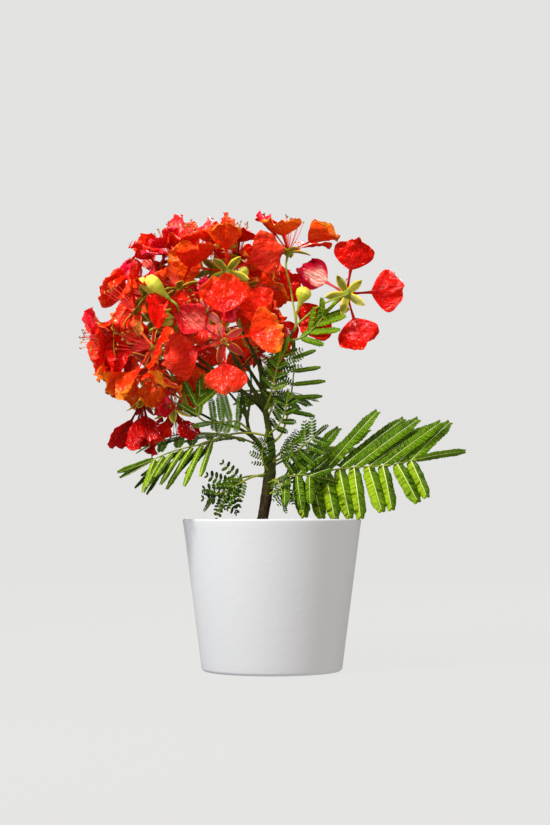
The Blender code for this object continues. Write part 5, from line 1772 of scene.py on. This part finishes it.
# Leaflets: thickness and sag in shares of the length, angles in degrees
leaflets = dict(
    thick=0.035, sag=0.1, slant=70, tipSlant=46, smallerTip=0.34, smallerFoot=0.22, sway=0.05,
    foldSway=7, otherGreens=0.1, start=0.025, ends=(0.97, 0.97, 0.93), steps=9)
ribs = dict(midribs=(0.36, 0.36, 0.36), midribTaper=0.6, midribSides=5, steps=6, sides=10,
            pale=((0.5, 0.58, 0.12), (0.8, 0.84, 0.36)),
            green=((0.15, 0.27, 0.02), (0.26, 0.38, 0.045)))


def leafletTree():
    # two rows of leaflets along each line: smaller at its ends, turned forward towards its tip
    inputs = ("Thickness", "Sag", "Slant", "Tip Slant")
    g = Grower("leaflets", {title: "Float" for title in inputs})
    thickness, droop, slant, tipSlant = (g.given(title) for title in inputs)
    line = g.add("GeometryNodeMeshToCurve", None, {"Mesh": g.given("Geometry")})
    sockets = {"Curve": line, "Length": g.named("spacing")}
    line = g.add("GeometryNodeResampleCurve", {"mode": "LENGTH"}, sockets)
    along = g.add("GeometryNodeInputTangent")
    face = g.named("face", "FLOAT_VECTOR")
    side = g.vectors("NORMALIZE", g.vectors("CROSS_PRODUCT", along, face))
    up = g.vectors("CROSS_PRODUCT", side, along)
    t = g.add("GeometryNodeSplineParameter")
    nearEnd = g.step(t, 0.8, 1.0)
    nearFoot = g.step(t, 0.16, 0.0)
    size = g.named("half") * (1 - leaflets["smallerTip"] * nearEnd)
    size = size * (1 - leaflets["smallerFoot"] * nearFoot)
    rowSide = g.named("row_side") * 1000.0
    oval = g.add("GeometryNodeMeshUVSphere", None, {"Segments": 4, "Rings": 6, "Radius": 0.5})
    sockets = {"Geometry": oval, "Translation": (0.5, 0, 0), "Rotation": (0, math.pi / 2, 0),
               "Scale": g.triple(thickness, 1.0, 1.0)}
    oval = g.add("GeometryNodeTransform", None, sockets)
    place = g.add("GeometryNodeInputPosition")
    ahead = g.add("ShaderNodeSeparateXYZ", None, {0: place}, "X")
    sag = g.triple(0.0, 0.0, ahead * ahead * droop * -1)
    oval = g.add("GeometryNodeSetPosition", None, {"Geometry": oval, "Offset": sag})
    rows = []
    for sign in (1.0, -1.0):
        seed = 20 + 10 * int(sign)
        lean = slant + (tipSlant - slant) * nearEnd + g.shift(leaflets["sway"], seed)
        fold = g.named("fold") * 1000.0 + g.shift(0.06, seed + 1)
        sine = g.maths("SINE", fold)
        cosine = g.maths("COSINE", fold)
        aside = g.vectors("ADD", g.scaled(side, cosine * sign), g.scaled(up, sine))
        normal = g.vectors("SUBTRACT", g.scaled(up, cosine), g.scaled(side, sine * sign))
        forward = g.scaled(along, g.maths("COSINE", lean))
        way = g.vectors("ADD", forward, g.scaled(aside, g.maths("SINE", lean)))
        settings = {"primary_axis": "Z", "secondary_axis": "X"}
        sockets = {"Primary Axis": normal, "Secondary Axis": way}
        turn = g.add("FunctionNodeAxesToRotation", settings, sockets)
        length = size * (1 + g.shift(leaflets["sway"], seed + 2))
        breadth = length * g.named("breadth") * 1000.0
        # the row's side is 0 on a line that grows both rows
        settings = {"data_type": "FLOAT", "operation": "GREATER_THAN"}
        wanted = g.add("FunctionNodeCompare", settings, {0: rowSide * sign, 1: -0.5})
        scale = g.triple(length, breadth, length)
        rows.append(g.scatter(line, oval, turn, scale, wanted))
    g.end(g.join(rows))
    return g


def leafFinish(name, plain, light, dark):
    f = Finish(name + "_leaf", Specular_IOR_Level=0.12)
    cloud = f.noise(38.0, 3.0)
    fleck = f.noise(260.0, 2.0)
    tone = f.mix(f.step(cloud, 0.34, 0.66), dark, plain)
    tone = f.mix(f.step(fleck, 0.45, 0.75) * 0.8, tone, light)
    return f.finish(tone, 0.52 + fleck * 0.16, fleck, 0.00012)


def ribFinish(name):
    f = Finish(name + "_pinna_rib", Specular_IOR_Level=0.4)
    cloud = f.noise(120.0, 2.0)
    tone = f.mix(cloud, *ribs[name])
    return f.finish(tone, 0.5 + cloud * 0.1, cloud, 0.0001)


def pinnaPath(at, along, face, length, droop):
    # the points of a pinna's midrib and the way its blade faces at each
    bend = math.radians(-droop)
    radius = length / bend
    path = []
    faces = []
    for i in range(leaflets["steps"]):
        turn = bend * i / (leaflets["steps"] - 1)
        raised = face * (radius * (1 - math.cos(turn)))
        path.append(at + along * (radius * math.sin(turn)) + raised)
        faces.append(face * math.cos(turn) - along * math.sin(turn))
    return path, faces


def makeFronds():
    # every pinna as a midrib with leaflets on both sides, sorted by their greens
    rows = {name: Lines() for name in leafTones}
    midribs = {"pale": Lines(), "green": Lines()}
    frondRibs = Lines()
    for name, pinnae in placedFronds.items():
        frond = {**fronds, **sprigs}[name]
        node = frond.get("node", name)
        chance = random.Random("greens of " + name)
        path = seenPath(frond["rib"], ribs["steps"])
        thick = taper(path, pinnaShape["ribStart"], pinnaShape["ribEnd"])
        frondRibs.put(path, node, {"thick": thick})
        for at, along, face, length, row in pinnae:
            left, right, fold, breadth, spacing, share = frond["look"][row]
            if chance.random() < leaflets["otherGreens"]:
                left = otherGreen[left]
            fold = math.radians(fold + chance.uniform(-leaflets["foldSway"], leaflets["foldSway"]))
            path, faces = pinnaPath(at, along, face, length, frond["droop"])
            strong = frond.get("midribs", ribs["midribs"])[row]
            parts = [i / (len(path) - 1) for i in range(len(path))]
            thick = [strong * (1 - ribs["midribTaper"] * part) for part in parts]
            midribs[frond.get("tone", "green")].put(path, node, {"thick": thick})
            start, _ = pointAlong(path, leaflets["start"])
            end, _ = pointAlong(path, leaflets["ends"][row])
            half = frond["half"] * share
            numbers = dict(half=half, spacing=half * spacing, fold=fold, breadth=breadth)
            # where the two sides' greens differ, they are painted light on one half of the pinna
            # and painted shade on the other
            sides = [(left, 0.0)] if left == right else [(left, 1.0), (right, -1.0)]
            for green, side in sides:
                numbers["row_side"] = side
                rows[green].put([start, *path[1:-1], end], node, numbers, {"face": faces})
    settings = {"Thickness": leaflets["thick"], "Sag": leaflets["sag"],
                "Slant": math.radians(leaflets["slant"]),
                "Tip Slant": math.radians(leaflets["tipSlant"])}
    for name, lines in rows.items():
        finish = leafFinish(name, *leafTones[name])
        lines.piece("leaflets_" + name, trees["leaflets"], finish, "leaf", **settings)
    tubes = trees["tubes"]
    for name, lines in midribs.items():
        sides = ribs["midribSides"]
        lines.piece("pinna_ribs_" + name, tubes, ribFinish(name), "leaf", Sides=sides)
    frondRibs.piece("frond_ribs", tubes, stalkFinish(), "green_stem", Sides=ribs["sides"])


def makeStage():
    # floor and backdrop in one turned sheet
    s = studio
    outline = [(0.0, 0.0), (0.6, 0.0), (1.4, 0.0), (s["floorRadius"], 0.0)]
    outline += arc(s["floorRadius"], s["wallRound"], s["wallRound"], -80, 0, 10)
    outline.append((s["floorRadius"] + s["wallRound"], s["wallHeight"]))
    faces = []
    for step in range(s["steps"]):
        faces += turnedStrip(step, len(outline), s["steps"], 0)
    mesh = bpy.data.meshes.new("studio_floor")
    mesh.from_pydata(turnedRings(outline, s["steps"]), [], faces)
    mesh.polygons.foreach_set("use_smooth", [True] * len(faces))
    f = Finish("studio_paper", Specular_IOR_Level=0.0, Roughness=1.0, Emission_Strength=1.0,
               Emission_Color=(*s["glow"], 1.0))
    paper = f.noise(3.0, 2.0)
    tone = f.mix(paper, s["tone"], tuple(0.99 * c for c in s["tone"]))
    mesh.materials.append(f.finish(tone))
    floor = linked("studio_floor", mesh)
    for rays in ("shadow", "diffuse", "glossy"):
        setattr(floor, "visible_" + rays, False)


makeCamera()
makeLights()
makeStage()
print("camera, light and floor are made")

makePot()
makeSoil()

trees = {"tubes": tubeTree(), "leaflets": leafletTree()}
placeTrunk()
limbPaths = {name: placeLimb(name) for name in limbs}
placedHeads = placeHeads()
placedRibs = {name: placeRib(name) for name in fronds}
placedFlowers = placeFlowers(flowers)
placedBuds = placeBuds(buds)
placedFronds = {name: placeFrond(name, plan) for name, plan in placedRibs.items()}
print("the rule has placed", sum(len(f["petals"]) for f in placedFlowers), "petals and",
      sum(len(p) for p in placedFronds.values()), "pinnae")

for head, parts in placedHeads.items():
    placeStalks(head, parts, fillers, fillBuds)
placedBuds += placeBuds(fillBuds)
placedFlowers += placeFlowers(fillers)
sprigRibs = {name: placeRib(name) for name in sprigs}
placedFronds.update({name: placeFrond(name, plan) for name, plan in sprigRibs.items()})
print("and with what fills it", sum(len(f["petals"]) for f in placedFlowers), "petals and",
      sum(len(p) for p in placedFronds.values()), "pinnae")

makeBark()
makeStalks()
makePetals()
makeSepals()
makeStamens()
makeBuds()
makeFronds()
